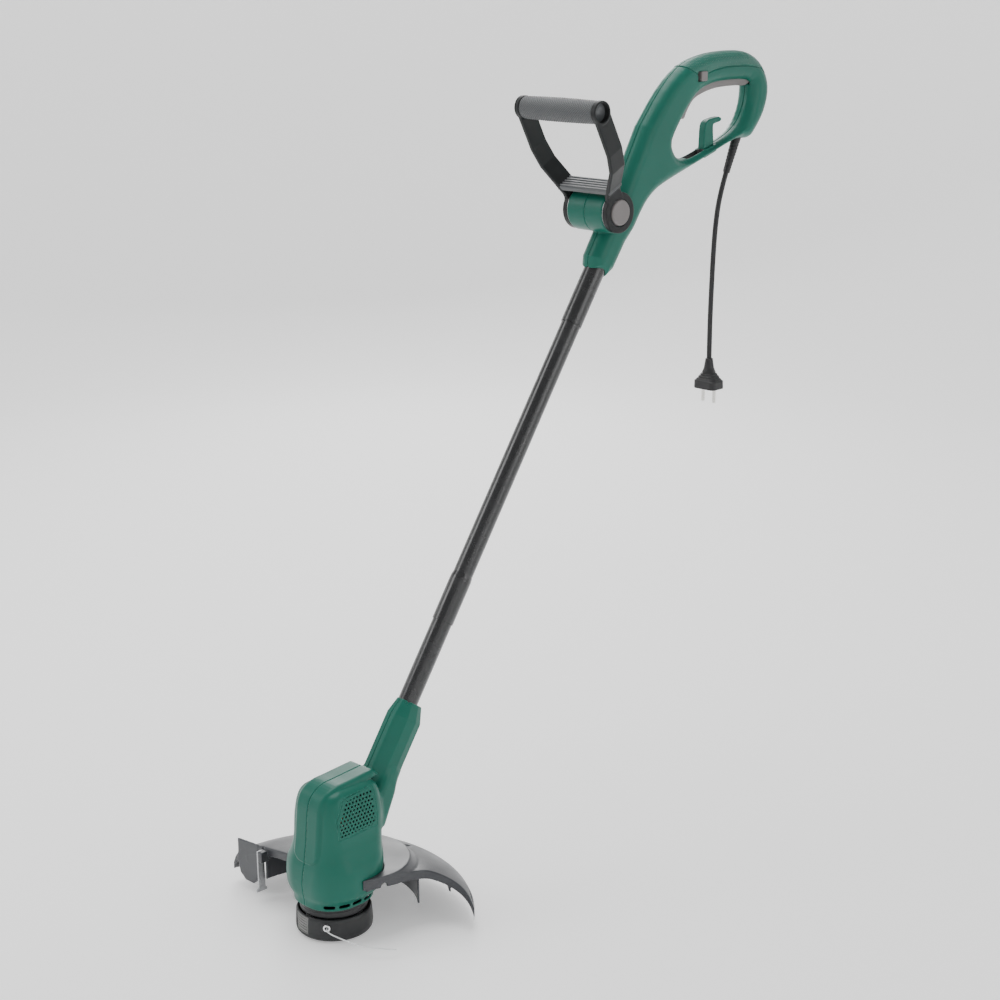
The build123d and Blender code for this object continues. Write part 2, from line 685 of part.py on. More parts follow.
def arm():
    """One flat strap, on the +X side, swept in the plane of the grip."""
    with BuildPart() as strap:
        with BuildSketch(ARM):
            with BuildLine():
                centre = Polyline(*ARM_PATH)
                offset(centre, amount=STRAP_THICKNESS / 2, kind=Kind.INTERSECTION, side=Side.BOTH)
            make_face()
        extrude(amount=STRAP_WIDTH / 2, both=True)
    return strap.part


def arm_with_eye():
    """The strap with the eye at its lower end, whose lip covers the spigot's end."""
    inner, outer = RING_FACES
    step = SPIGOT_END + 0.1
    with BuildPart() as eye:
        add(hub_cylinder(RING_R, inner, outer))
        chamfer(eye.faces().sort_by(Axis.X)[-1].edges(), 1.2)
    strap = arm() - hub_cylinder(RING_R - 2, outer - 0.4, 60)
    bore = hub_cylinder(SPIGOT_R + FIT, inner - 1, step)
    mouth = hub_cylinder(BUTTON_R + 0.6, step - 1, outer + 9)
    return (eye.part + strap) - bore - mouth


bridge_half = 44.0
bridge_base = Plane(origin=ARM.origin, x_dir=ARM.y_dir, z_dir=(1, 0, 0))
with BuildPart() as bridge:
    with BuildSketch(bridge_base.offset(-bridge_half)):
        with Locations((36.5, 0)):
            RectangleRounded(7.0, 26.0, 2.0)
        with Locations(*[(40.4, -9.6 + 4.8 * i) for i in range(5)]):
            Rectangle(1.6, 1.8, mode=Mode.SUBTRACT)
    extrude(amount=2 * bridge_half)
grip_core = rod(grip_plane.offset(-GRIP_HALF), 13.0, 2 * GRIP_HALF)
collars = rod(grip_plane.offset(-GRIP_HALF), GRIP_R, 7.0)
collars = collars + rod(grip_plane.offset(GRIP_HALF - 7.0), GRIP_R, 7.0)
right_arm = arm_with_eye()
front_handle_frame = right_arm + mirror(right_arm, about=Plane.YZ) + bridge.part + grip_core + collars
front_handle_frame = front_handle_frame - rod(grip_plane.offset(-80), GRIP_BORE_R - 0.2, 160)
with BuildPart() as front_grip_sleeve:
    with BuildSketch(Plane(origin=(0, GRIP_Y, GRIP_Z), x_dir=(1, 0, 0), z_dir=ARM.z_dir)):
        with BuildLine():
            bow = ThreePointArc((-60.3, 14.0), (0, 14.9), (60.3, 14.0))
            Polyline(bow @ 1, (60.3, 13.02), (-60.3, 13.02), bow @ 0)
        make_face()
    revolve(axis=Axis((0, GRIP_Y, GRIP_Z), (1, 0, 0)))
index_washers = hub_cylinder(25.2, BARREL_HALF, RING_FACES[0] - FIT) + hub_cylinder(
    25.2, FIT - RING_FACES[0], -BARREL_HALF)
index_washers = index_washers - hub_cylinder(SPIGOT_R, -60, 60)


def button(side):
    """A push button inside the spigot, with the spring pocket behind it."""
    low, high = (24.0, BUTTON_END) if side > 0 else (-BUTTON_END, -24.0)
    with BuildPart() as cap:
        add(hub_cylinder(BUTTON_R, low, high))
        fillet(cap.faces().sort_by(Axis.X)[-1 if side > 0 else 0].edges(), 1.4)
    guide = hub_cylinder(SPIGOT_BORE_R - FIT, *((24.0, 33.0) if side > 0 else (-33.0, -24.0)))
    pocket = hub_cylinder(9.0, *((20.0, 34.0) if side > 0 else (-34.0, -20.0)))
    return cap.part + guide - pocket


def coil_spring(plane, radius, wire, height, turns):
    """A compression spring standing on a plane."""
    with BuildPart() as spring:
        with BuildLine() as helix_line:
            Helix(height / turns, height, radius, center=tuple(plane.origin), direction=tuple(plane.z_dir))
        with BuildSketch(Plane(origin=helix_line.line @ 0, z_dir=helix_line.line % 0)):
            Circle(wire)
        sweep(is_frenet=True)
    return spring.part


button_springs = [coil_spring(barrel_plane.offset(x), 6.5, 0.6, 19.5, 5) for x in (10.6, -30.1)]

# ---------------------------------------------------------------- motor and spool head
drive_shaft = rod(Plane.XY.offset(20), MOTOR_SHAFT_R, 150)
armature = rod(Plane.XY.offset(CORE_Z[0]), ARMATURE_R, CORE_Z[1] - CORE_Z[0], bore=MOTOR_SHAFT_R)
with BuildPart() as armature_slots:
    with BuildSketch(Plane.XY.offset(CORE_Z[0] - 1)):
        with PolarLocations(ARMATURE_R - 2.0, 12):
            Rectangle(6.0, 2.2)
    extrude(amount=CORE_Z[1] - CORE_Z[0] + 2)
armature = armature - armature_slots.part
commutator = rod(Plane.XY.offset(150), 10.0, 10, bore=MOTOR_SHAFT_R)
with BuildPart() as cooling_fan:
    with BuildSketch(Plane.XY.offset(64)):
        Circle(34.0)
        Circle(MOTOR_SHAFT_R, mode=Mode.SUBTRACT)
    extrude(amount=2.0)
    with BuildSketch(Plane.XY.offset(66)):
        Circle(9.0)
        Circle(MOTOR_SHAFT_R, mode=Mode.SUBTRACT)
        with PolarLocations(21.0, 9):
            Rectangle(25.0, 1.6, rotation=20)
    extrude(amount=11.0)
field_core = rod(Plane.XY.offset(CORE_Z[0]), CORE_R, CORE_Z[1] - CORE_Z[0], bore=ARMATURE_R + 0.6)
field_coils = rod(Plane.XY.offset(98), 26.0, CORE_Z[0] - 98, bore=19.0)
field_coils = field_coils + rod(Plane.XY.offset(CORE_Z[1]), 26.0, 6.0, bore=19.0)
bracket_height = LOWER_BRACKET_Z[1] - LOWER_BRACKET_Z[0]
lower_bracket = rod(Plane.XY.offset(LOWER_BRACKET_Z[0]), CORE_R, bracket_height, bore=BEARING_R)
with BuildPart() as air_holes:
    with BuildSketch(Plane.XY.offset(LOWER_BRACKET_Z[0] - 1)):
        with PolarLocations(21.0, 6):
            Circle(5.0)
    extrude(amount=8)
lower_bracket = lower_bracket - air_holes.part
upper_bracket = rod(Plane.XY.offset(UPPER_BRACKET_Z[0] - 1), 24.0, 5.0, bore=8.0)
brush_arms = block((0, 0, 159.0), (44, 12, 8)) - rod(Plane.XY.offset(150), 12.0, 20)
brush_channels = block((0, 0, 156.0), (50, 7.0, 8.0))
upper_bracket = upper_bracket + brush_arms - brush_channels
carbon_brushes = [block((side * 16.2, 0, 156.0), (11.6, 7.0, 8.0)) - rod(Plane.XY.offset(150), 10.3, 12)
                  for side in (-1, 1)]
lower_bearing = rod(Plane.XY.offset(LOWER_BRACKET_Z[0]), BEARING_R, 5.0, bore=MOTOR_SHAFT_R + 0.02)
upper_bearing = rod(Plane.XY.offset(UPPER_BRACKET_Z[0] - 1), 8.0, 5.0, bore=MOTOR_SHAFT_R + 0.02)

with BuildPart() as head_hub:
    with BuildSketch(Plane.XY.offset(HUB_DISC_Z[0])):
        Circle(HUB_DISC_R)
        Circle(MOTOR_SHAFT_R, mode=Mode.SUBTRACT)
    extrude(amount=HUB_DISC_Z[1] - HUB_DISC_Z[0])
    with BuildSketch(Plane.XY.offset(HUB_DISC_Z[1])):
        Circle(11.0)
        Circle(MOTOR_SHAFT_R, mode=Mode.SUBTRACT)
    extrude(amount=16.0)
with BuildPart() as spool_cup:
    with BuildSketch(Plane.XZ):
        with BuildLine():
            Polyline((15.4, CUP_Z[0]), (CUP_R - 3.2, CUP_Z[0]), (CUP_R - 0.6, CUP_Z[0] + 3.2),
                     (CUP_R, CUP_Z[0] + 8), (CUP_R - 0.9, CUP_Z[1] - 3), (CUP_R - 2.6, CUP_Z[1] + 0.4),
                     (HUB_DISC_R - 5, CUP_Z[1] + 0.4), (HUB_DISC_R - 5, CUP_Z[1] - 1.6),
                     (CUP_R - CUP_WALL - 1, CUP_Z[1] - 1.6), (CUP_R - CUP_WALL - 0.4, CUP_Z[0] + 7),
                     (CUP_R - CUP_WALL - 3, CUP_Z[0] + 2.6), (15.4, CUP_Z[0] + 2.6), close=True)
        make_face()
    revolve(axis=Axis.Z)


def radial_plane(angle, reach, height):
    direction = Vector(cos(radians(angle)), sin(radians(angle)), 0)
    return Plane(origin=direction * reach + Vector(0, 0, height), x_dir=(-direction.Y, direction.X, 0),
                 z_dir=direction)


def latch_block(angle, grow, near, far):
    height = LATCH_Z[1] - LATCH_Z[0]
    with BuildPart() as body:
        with BuildSketch(radial_plane(angle, near, sum(LATCH_Z) / 2)):
            RectangleRounded(LATCH_WIDTH + 2 * grow, height + 2 * grow, 1.5)
        extrude(amount=far - near)
    return body.part


def latch(angle):
    """A spring pad in the cup's wall, with cross ribs for the thumb."""
    pad = latch_block(angle, 0.0, 41.2, 45.6)
    pitch = 3.6
    with BuildPart() as grooves:
        with BuildSketch(radial_plane(angle, 44.6, sum(LATCH_Z) / 2)):
            with GridLocations(1, pitch, 1, 6):
                Rectangle(LATCH_WIDTH + 2, 1.3)
        extrude(amount=3)
    return pad - grooves.part


cup = spool_cup.part
latches = [latch(LATCH_ANGLE), latch(LATCH_ANGLE + 180)]
cup = cup - [latch_block(LATCH_ANGLE + turn, 0.15, 38.0, 50.0) for turn in (0, 180)]
eyelet_shank = rod(radial_plane(EYELET_ANGLE, 42.0, EYELET_Z), 3.2, 4.6)
eyelet_flange = rod(radial_plane(EYELET_ANGLE, 45.6, EYELET_Z), 4.6, 2.0)
with BuildPart() as eyelet_face:
    add(eyelet_flange)
    fillet(eyelet_face.edges().group_by(SortBy.DISTANCE)[-1], 0.9)
line_eyelet = eyelet_shank + eyelet_face.part - rod(radial_plane(EYELET_ANGLE, 40.0, EYELET_Z), 1.6, 12)
cup = cup - rod(radial_plane(EYELET_ANGLE, 40.0, EYELET_Z), 3.2, 6) - eyelet_flange
line_spool = rod(Plane.XY.offset(12), 36.0, 16, bore=12.0)
line_spool = line_spool - rod(Plane.XY.offset(13.5), 40.0, 13, bore=18.0)
wound_line = rod(Plane.XY.offset(13.5), 34.0, 13, bore=18.0)
tap_knob = rod(Plane.XY, TAP_R, 5) + rod(Plane.XY.offset(4.8), 17.5, 2) + rod(Plane.XY.offset(6.8), 10.0, 15)
tap_knob = tap_knob - rod(Plane.XY.offset(10), 7.4, 20)
with BuildPart() as tap_shaped:
    add(tap_knob)
    fillet(tap_shaped.edges().group_by(Axis.Z)[0], 2.0)
feed_spring = coil_spring(Plane.XY.offset(15.2), 6.0, 0.6, 14.6, 4)
LINE_ROUTE = (
    (26.6, -33.2, 20.5),
    (31.9, -39.8, 20.4),
    (41.5, -41.2, 19.9),
    (55.0, -38.6, 18.6),
    (71.0, -33.4, 16.5),
    (86.0, -25.2, 13.9),
    (99.0, -12.6, 11.3),
    (109.9, 2.2, 9.0),
)
cutting_line = route_tube(LINE_ROUTE, 0.8, "cutting_line")
supply_wire = route_tube(WIRE_ROUTE, 2.5, "supply_wire")

# ---------------------------------------------------------------- output
housing_fasteners = [*housing_screw_set, *guard_bolts]
save_shells(housing, screw_wells, housing_fasteners, "motor_housing_left", "motor_housing_right")
save_shells(handle, handle_wells, handle_screw_set, "rear_handle_left", "rear_handle_right")
latch_names = ("spool_latch_front", "spool_latch_rear")
for pad, name in zip(latches, latch_names):
    save(pad, name)
save(button(1), "adjust_button_right")
save(button(-1), "adjust_button_left")
PIECES = {
    "housing_screws": Compound(housing_screw_set),
    "guard": guard,
    "guard_screws": Compound(guard_bolts),
    "line_cutter": cutter_blade,
    "cutter_screw": cutter_bolt,
    "lower_tube": lower_tube,
    "middle_tube": middle_tube.part,
    "upper_tube": upper_tube.part,
    "supply_wire": supply_wire,
    "trigger": trigger,
    "trigger_pin": trigger_pin,
    "lock_off_slider": lock_off_slider.part,
    "power_switch": power_switch,
    "cable_hook": cable_hook.part,
    "handle_screws": Compound(handle_screw_set),
    "cord_sleeve": cord_sleeve.part,
    "lead_in_sleeve": inner_lead,
    "mains_cord": mains_cord,
    "plug_body": plug_body,
    "plug_pins": Compound(pins),
    "front_handle_frame": front_handle_frame,
    "front_grip_sleeve": front_grip_sleeve.part,
    "index_washers": index_washers,
    "button_springs": Compound(button_springs),
    "drive_shaft": drive_shaft,
    "armature": armature,
    "commutator": commutator,
    "cooling_fan": cooling_fan.part,
    "field_core": field_core,
    "field_coils": field_coils,
    "lower_bracket": lower_bracket,
    "upper_bracket": upper_bracket,
    "carbon_brushes": Compound(carbon_brushes),
    "lower_bearing": lower_bearing,
    "upper_bearing": upper_bearing,
    "head_hub": head_hub.part,
    "spool_cup": cup,
    "line_eyelet": line_eyelet,
    "line_spool": line_spool,
    "wound_line": wound_line,
    "tap_knob": tap_shaped.part,
    "feed_spring": feed_spring,
    "cutting_line": cutting_line,
}
for name, piece in PIECES.items():
    save(piece, name)
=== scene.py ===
from math import cos, pi, radians, sin

import bpy
import numpy as np
from mathutils import Matrix, Vector


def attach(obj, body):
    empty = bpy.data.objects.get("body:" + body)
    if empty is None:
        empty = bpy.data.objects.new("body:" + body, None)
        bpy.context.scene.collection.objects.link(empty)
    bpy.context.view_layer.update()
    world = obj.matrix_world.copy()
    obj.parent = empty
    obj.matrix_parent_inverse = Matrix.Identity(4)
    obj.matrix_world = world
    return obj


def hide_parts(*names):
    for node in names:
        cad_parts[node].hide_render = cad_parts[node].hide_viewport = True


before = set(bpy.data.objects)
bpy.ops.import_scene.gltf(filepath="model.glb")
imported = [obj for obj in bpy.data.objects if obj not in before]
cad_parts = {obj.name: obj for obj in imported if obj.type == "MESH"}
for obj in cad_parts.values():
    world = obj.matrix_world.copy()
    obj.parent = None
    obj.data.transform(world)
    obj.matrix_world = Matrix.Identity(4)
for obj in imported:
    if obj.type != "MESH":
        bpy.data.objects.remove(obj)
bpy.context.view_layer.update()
MM = 0.001


# ------------------------------------------------------------------ camera and cords
CAMERA_PLACE = (1.6947, -1.3782, 1.1567)
CAMERA_LENS = 71.8


def make_camera():
    """The working view: ahead of the tool, to its right and a little above."""
    right = Vector((0.7008, 0.7132, -0.0107)).normalized()
    forward = Vector((-0.6856, 0.6737, -0.2758)).normalized()
    up = right.cross(forward).normalized()
    right = forward.cross(up)
    data = bpy.data.cameras.new("camera")
    data.lens = CAMERA_LENS
    data.sensor_width = 36.0
    data.clip_end = 50.0
    camera = bpy.data.objects.new("camera", data)
    rows = [(r, u, -f, c) for r, u, f, c in zip(right, up, forward, CAMERA_PLACE)]
    camera.matrix_world = Matrix((*rows, (0, 0, 0, 1)))
    bpy.context.scene.collection.objects.link(camera)
    bpy.context.scene.camera = camera


make_camera()

LEAD_R = 0.0035
LINE_R = 0.0008
LEAD_EXIT = (0.0, 0.7355, 0.8839)
SLEEVE_LENGTH = 0.048
SLEEVE_TILT = radians(23.9)
SLEEVE_DIRECTION = Vector((0, -sin(SLEEVE_TILT), -cos(SLEEVE_TILT)))
SLEEVE_END = Vector(LEAD_EXIT) + SLEEVE_DIRECTION * SLEEVE_LENGTH
LEAD_ROUTE = (
    tuple(SLEEVE_END),
    (0.0004, 0.7032, 0.8110),
    (0.0014, 0.6944, 0.7740),
    (0.0020, 0.6900, 0.7310),
    (0.0012, 0.6886, 0.6840),
    (-0.0010, 0.6894, 0.6360),
    (-0.0010, 0.6894, 0.5920),
)
LINE_ROUTE = (
    (0.0266, -0.0332, 0.0205),
    (0.0319, -0.0398, 0.0204),
    (0.0415, -0.0412, 0.0199),
    (0.0550, -0.0386, 0.0186),
    (0.0710, -0.0334, 0.0165),
    (0.0860, -0.0252, 0.0139),
    (0.0990, -0.0126, 0.0113),
    (0.1099, 0.0022, 0.0090),
)


def cord_curve(name, route, radius):
    """A round cord whose control points are the route's points; each carries the cord's radius."""
    data = bpy.data.curves.new(name, "CURVE")
    data.dimensions = "3D"
    data.resolution_u = 16
    data.bevel_depth = 1.0
    data.bevel_resolution = 6
    data.use_fill_caps = True
    spline = data.splines.new("NURBS")
    spline.points.add(len(route) - 1)
    for point, place in zip(spline.points, route):
        point.co = (*place, 1.0)
        point.radius = radius
    spline.order_u = 3
    spline.use_endpoint_u = True
    spline.use_smooth = True
    cord = bpy.data.objects.new(name, data)
    bpy.context.scene.collection.objects.link(cord)
    return cord


lead = cord_curve("mains_lead", LEAD_ROUTE, LEAD_R)
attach(lead, "root")
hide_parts("mains_cord")
cutting_line = cord_curve("nylon_line", LINE_ROUTE, LINE_R)
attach(cutting_line, "cutting_head")
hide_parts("cutting_line")


# ------------------------------------------------------------------ floor and light
def make_stage():
    """A pale floor that curves up into a wall all round."""
    flat, curve, height, segments = 2.9, 1.1, 2.6, 96
    rings = [(0.6 * i, 0.0) for i in range(1, 5)] + [(flat, 0.0)]
    rings += [(flat + curve * sin(a), curve * (1 - cos(a))) for a in np.linspace(0.1, pi / 2, 12)]
    rings.append((flat + curve, height))
    points = [(0.0, 0.0, 0.0)]
    faces = [(0, 1 + i, 1 + (i + 1) % segments) for i in range(segments)]
    for radius, rise in rings:
        points += [(radius * cos(2 * pi * i / segments), radius * sin(2 * pi * i / segments), rise)
                   for i in range(segments)]
    for j in range(len(rings) - 1):
        for i in range(segments):
            a, b = 1 + j * segments + i, 1 + j * segments + (i + 1) % segments
            faces.append((a, a + segments, b + segments, b))
    mesh = bpy.data.meshes.new("floor")
    mesh.from_pydata(points, [], faces)
    mesh.polygons.foreach_set("use_smooth", [True] * len(mesh.polygons))
    floor = bpy.data.objects.new("floor", mesh)
    bpy.context.scene.collection.objects.link(floor)
    material = bpy.data.materials.new("studio_floor")
    material.use_nodes = True
    shader = material.node_tree.nodes["Principled BSDF"]
    shader.inputs["Base Color"].default_value = (0.88, 0.88, 0.88, 1)
    shader.inputs["Roughness"].default_value = 0.8
    shader.inputs["Specular IOR Level"].default_value = 0.1
    shader.inputs["Emission Color"].default_value = (1, 1, 1, 1)
    shader.inputs["Emission Strength"].default_value = 0.3
    mesh.materials.append(material)


def area_light(name, place, target, size, power):
    data = bpy.data.lights.new(name, "AREA")
    data.shape = "RECTANGLE"
    data.size, data.size_y = size
    data.energy = power
    light = bpy.data.objects.new(name, data)
    light.location = place
    light.rotation_euler = (Vector(target) - Vector(place)).to_track_quat("-Z", "Y").to_euler()
    bpy.context.scene.collection.objects.link(light)


def make_world():
    """Even white light from everywhere."""
    world = bpy.data.worlds.new("studio")
    world.use_nodes = True
    background = world.node_tree.nodes["Background"]
    background.inputs["Color"].default_value = (1.0, 1.0, 1.0, 1)
    background.inputs["Strength"].default_value = 0.5
    bpy.context.scene.world = world


make_stage()
make_world()
area_light("top", (-0.6, 0.5, 2.9), (0, 0.35, 0.4), (1.8, 1.8), 52)
area_light("key", (-1.5, -1.5, 2.3), (0, 0.3, 0.4), (1.2, 1.2), 20)
area_light("rim", (-1.9, 1.9, 1.7), (0, 0.4, 0.5), (0.9, 2.0), 30)
area_light("fill", (2.6, 0.8, 1.4), (0, 0.3, 0.5), (1.2, 1.6), 8)


# ------------------------------------------------------------------ materials
def tangle(name, color, roughness, specular=0.5, metallic=0.0, coat=0.0):
    """A material with a tree to add detail to; returns the material, its nodes, links and shader."""
    material = bpy.data.materials.new(name)
    material.use_nodes = True
    nodes, links = material.node_tree.nodes, material.node_tree.links
    shader = nodes["Principled BSDF"]
    shader.inputs["Base Color"].default_value = (*color, 1)
    shader.inputs["Roughness"].default_value = roughness
    shader.inputs["Metallic"].default_value = metallic
    shader.inputs["Specular IOR Level"].default_value = specular
    shader.inputs["Coat Weight"].default_value = coat
    return material, nodes, links, shader


def object_noise(nodes, links, scale, detail=4.0, stretch=(1, 1, 1)):
    """Noise in the object's own space; returns its factor output."""
    place = nodes.new("ShaderNodeTexCoord")
    mapping = nodes.new("ShaderNodeMapping")
    mapping.inputs["Scale"].default_value = stretch
    noise = nodes.new("ShaderNodeTexNoise")
    noise.inputs["Scale"].default_value = scale
    noise.inputs["Detail"].default_value = detail
    links.new(place.outputs["Object"], mapping.inputs["Vector"])
    links.new(mapping.outputs["Vector"], noise.inputs["Vector"])
    return noise.outputs["Fac"]


def ramp(nodes, links, factor, stops):
    """A colour ramp over (position, colour) stops; returns its colour output."""
    node = nodes.new("ShaderNodeValToRGB")
    elements = node.color_ramp.elements
    while len(elements) < len(stops):
        elements.new(0.5)
    for element, (position, color) in zip(elements, stops):
        element.position = position
        element.color = (*color, 1)
    links.new(factor, node.inputs["Fac"])
    return node.outputs["Color"]


def grey(value):
    return (value, value, value)


def scaled(color, factor):
    return tuple(min(1.0, c * factor) for c in color)


def vary_color(nodes, links, shader, color, spread, scale):
    """Slow tone changes, as a big moulding has."""
    factor = object_noise(nodes, links, scale, 2.0)
    stops = ((0.3, scaled(color, 1 - spread)), (0.7, scaled(color, 1 + spread)))
    links.new(ramp(nodes, links, factor, stops), shader.inputs["Base Color"])


def vary_roughness(nodes, links, shader, low, high, scale):
    factor = object_noise(nodes, links, scale, 5.0)
    links.new(ramp(nodes, links, factor, ((0.3, grey(low)), (0.7, grey(high)))), shader.inputs["Roughness"])


def bump(nodes, links, shader, height, strength, distance):
    node = nodes.new("ShaderNodeBump")
    node.inputs["Strength"].default_value = strength
    node.inputs["Distance"].default_value = distance
    links.new(height, node.inputs["Height"])
    links.new(node.outputs["Normal"], shader.inputs["Normal"])


def voronoi_cells(nodes, links, scale):
    """Cells in the object's own space; returns their node."""
    place = nodes.new("ShaderNodeTexCoord")
    cells = nodes.new("ShaderNodeTexVoronoi")
    cells.inputs["Scale"].default_value = scale
    links.new(place.outputs["Object"], cells.inputs["Vector"])
    return cells


def worn_edges_and_painted_highlight(nodes, links, shader, color, edge_wear_and_highlight_color, amount):
    """Lighter colour along convex edges, from the mesh's pointiness: partly rubbed wear, partly painted highlight."""
    geometry = nodes.new("ShaderNodeNewGeometry")
    mask = nodes.new("ShaderNodeValToRGB")
    mask.color_ramp.elements[0].position = 0.52
    mask.color_ramp.elements[1].position = 0.60
    links.new(geometry.outputs["Pointiness"], mask.inputs["Fac"])
    tone = object_noise(nodes, links, 9.0, 2.0)
    body = ramp(nodes, links, tone, ((0.3, scaled(color, 0.93)), (0.7, scaled(color, 1.07))))
    strength = nodes.new("ShaderNodeMath")
    strength.operation = "MULTIPLY"
    strength.inputs[1].default_value = amount
    links.new(mask.outputs["Color"], strength.inputs[0])
    mix = nodes.new("ShaderNodeMix")
    mix.data_type = "RGBA"
    mix.inputs["B"].default_value = (*edge_wear_and_highlight_color, 1)
    links.new(strength.outputs["Value"], mix.inputs["Factor"])
    links.new(body, mix.inputs["A"])
    links.new(mix.outputs["Result"], shader.inputs["Base Color"])


def moulded(name, color, roughness, grain=900.0, depth=0.00004, specular=0.5, edge=1.5, coat=0.0):
    """Injection-moulded plastic: fine spark-eroded grain, slow tone changes, edges lightened as rubbed wear and painted
    highlight.
    """
    material, nodes, links, shader = tangle(name, color, roughness, specular, coat=coat)
    # edge scales the lighter colour on convex edges: rubbed wear and painted highlight.
    worn_edges_and_painted_highlight(nodes, links, shader, color, scaled(color, edge), 0.5)
    vary_roughness(nodes, links, shader, roughness - 0.05, roughness + 0.07, 30.0)
    bump(nodes, links, shader, object_noise(nodes, links, grain, 3.0), 0.5, depth)
    return material


def stippled(name, color, roughness, cell, depth):
    """Plastic with a coarse cast grain of rounded cells, as on the guard's outer face."""
    material, nodes, links, shader = tangle(name, color, roughness)
    # Convex edges 2.2 times lighter: rubbed wear and painted highlight.
    worn_edges_and_painted_highlight(nodes, links, shader, color, scaled(color, 2.2), 0.6)
    vary_roughness(nodes, links, shader, roughness - 0.06, roughness + 0.08, 24.0)
    cells = voronoi_cells(nodes, links, cell)
    cells.feature = "SMOOTH_F1"
    cells.inputs["Smoothness"].default_value = 0.6
    bump(nodes, links, shader, cells.outputs["Distance"], 0.7, depth)
    return material


def dimpled(name, color, roughness, cell, depth):
    """Grip moulding with small round dimples pressed into it."""
    material, nodes, links, shader = tangle(name, color, roughness)
    # Convex edges lighter: rubbed wear and painted highlight.
    worn_edges_and_painted_highlight(nodes, links, shader, color, scaled(color, 1.4), 0.5)
    vary_roughness(nodes, links, shader, roughness - 0.05, roughness + 0.07, 30.0)
    cells = voronoi_cells(nodes, links, cell)
    cells.inputs["Randomness"].default_value = 0.25
    pits = ramp(nodes, links, cells.outputs["Distance"], ((0.15, grey(0.0)), (0.42, grey(1.0))))
    bump(nodes, links, shader, pits, 0.6, depth)
    return material


def painted(name, color, roughness):
    """Gloss powder coat over tube: faint orange peel and long fine scuffs."""
    material, nodes, links, shader = tangle(name, color, roughness, 0.5, coat=0.35)
    shader.inputs["Coat Roughness"].default_value = 0.12
    vary_color(nodes, links, shader, color, 0.12, 14.0)
    vary_roughness(nodes, links, shader, roughness - 0.06, roughness + 0.1, 55.0)
    bump(nodes, links, shader, object_noise(nodes, links, 420.0, 2.0), 0.35, 0.00003)
    return material


def metal(name, color, roughness, stretch=(1, 1, 40), scale=120.0):
    """Bare metal with a brushed or drawn lay."""
    material, nodes, links, shader = tangle(name, color, roughness, 0.5, metallic=1.0)
    vary_color(nodes, links, shader, color, 0.1, 60.0)
    factor = object_noise(nodes, links, scale, 4.0, stretch)
    links.new(ramp(nodes, links, factor, ((0.3, grey(roughness * 0.7)), (0.7, grey(roughness * 1.5)))),
              shader.inputs["Roughness"])
    bump(nodes, links, shader, factor, 0.25, 0.00002)
    return material


def rubber(name, color, roughness):
    """Soft black jacket: matt, with a faint extrusion grain."""
    material, nodes, links, shader = tangle(name, color, roughness, 0.4)
    vary_color(nodes, links, shader, color, 0.15, 40.0)
    vary_roughness(nodes, links, shader, roughness - 0.08, roughness + 0.08, 80.0)
    bump(nodes, links, shader, object_noise(nodes, links, 1400.0, 2.0), 0.4, 0.00003)
    return material


def nylon(name):
    material, nodes, links, shader = tangle(name, (0.86, 0.87, 0.87), 0.28)
    vary_color(nodes, links, shader, (0.84, 0.86, 0.86), 0.06, 200.0)
    shader.inputs["Transmission Weight"].default_value = 0.25
    bump(nodes, links, shader, object_noise(nodes, links, 900.0, 1.0), 0.3, 0.00002)
    return material


GREEN = (0.004, 0.100, 0.070)
BLACK = (0.012, 0.013, 0.014)
GREY = (0.150, 0.138, 0.136)
PALE = (0.150, 0.150, 0.146)
# The edge factors lighten convex edges: rubbed wear and painted highlight.
M = {
    "green": moulded("green_moulding", GREEN, 0.34, specular=0.26, edge=1.45),
    "green_texture": moulded("green_texture", GREEN, 0.40, specular=0.26, edge=1.3),
    "green_dimpled": dimpled("green_dimpled", GREEN, 0.40, 330.0, 0.0009),
    "black": moulded("black_moulding", BLACK, 0.38, specular=0.4, edge=2.6),
    "strap": moulded("strap_moulding", (0.0075, 0.0090, 0.0095), 0.42, specular=0.26, edge=2.4),
    # Lighter grey for the bridge's outer face and rib crests: painted highlight.
    "ridge": moulded("ridge_painted_highlight", (0.110, 0.114, 0.118), 0.40, edge=1.8),
    "guard": stippled("guard_grain", (0.030, 0.032, 0.037), 0.36, 700.0, 0.00012),
    "guard_smooth": moulded("guard_smooth", (0.030, 0.032, 0.037), 0.34, edge=2.2),
    "grey": moulded("warm_grey_moulding", GREY, 0.42, edge=1.5),
    "pale": moulded("light_grey_moulding", PALE, 0.46, edge=1.4),
    "grip": moulded("grip_moulding", (0.046, 0.050, 0.053), 0.34, specular=0.6, edge=2.2),
    "tube": painted("black_powder_coat", (0.008, 0.0085, 0.0095), 0.24),
    "rubber": rubber("lead_jacket", (0.010, 0.010, 0.011), 0.42),
    "steel": metal("bright_steel", (0.56, 0.57, 0.58), 0.26),
    "blade": metal("blade_steel", (0.42, 0.43, 0.44), 0.34, (1, 1, 8)),
    "nickel": metal("nickel_plate", (0.74, 0.73, 0.70), 0.18, (40, 40, 1)),
    "copper": metal("enamelled_copper", (0.52, 0.20, 0.07), 0.32, (1, 1, 60)),
    "lamination": metal("lamination_steel", (0.30, 0.30, 0.31), 0.42, (1, 1, 90), 200.0),
    # Near-black for the hidden inner parts, and painted shade on the inner faces of shells, slots and bores.
    "dark": moulded("inner_moulding_and_painted_shade", (0.008, 0.009, 0.009), 0.6, edge=1.2),
    "nylon": nylon("nylon_monofilament"),
    "eyelet": metal("white_eyelet", (0.86, 0.86, 0.86), 0.22, (20, 20, 1)),
}


# ------------------------------------------------------------------ forms from distance functions, in mm
def length2(a, b):
    return np.sqrt(a * a + b * b)


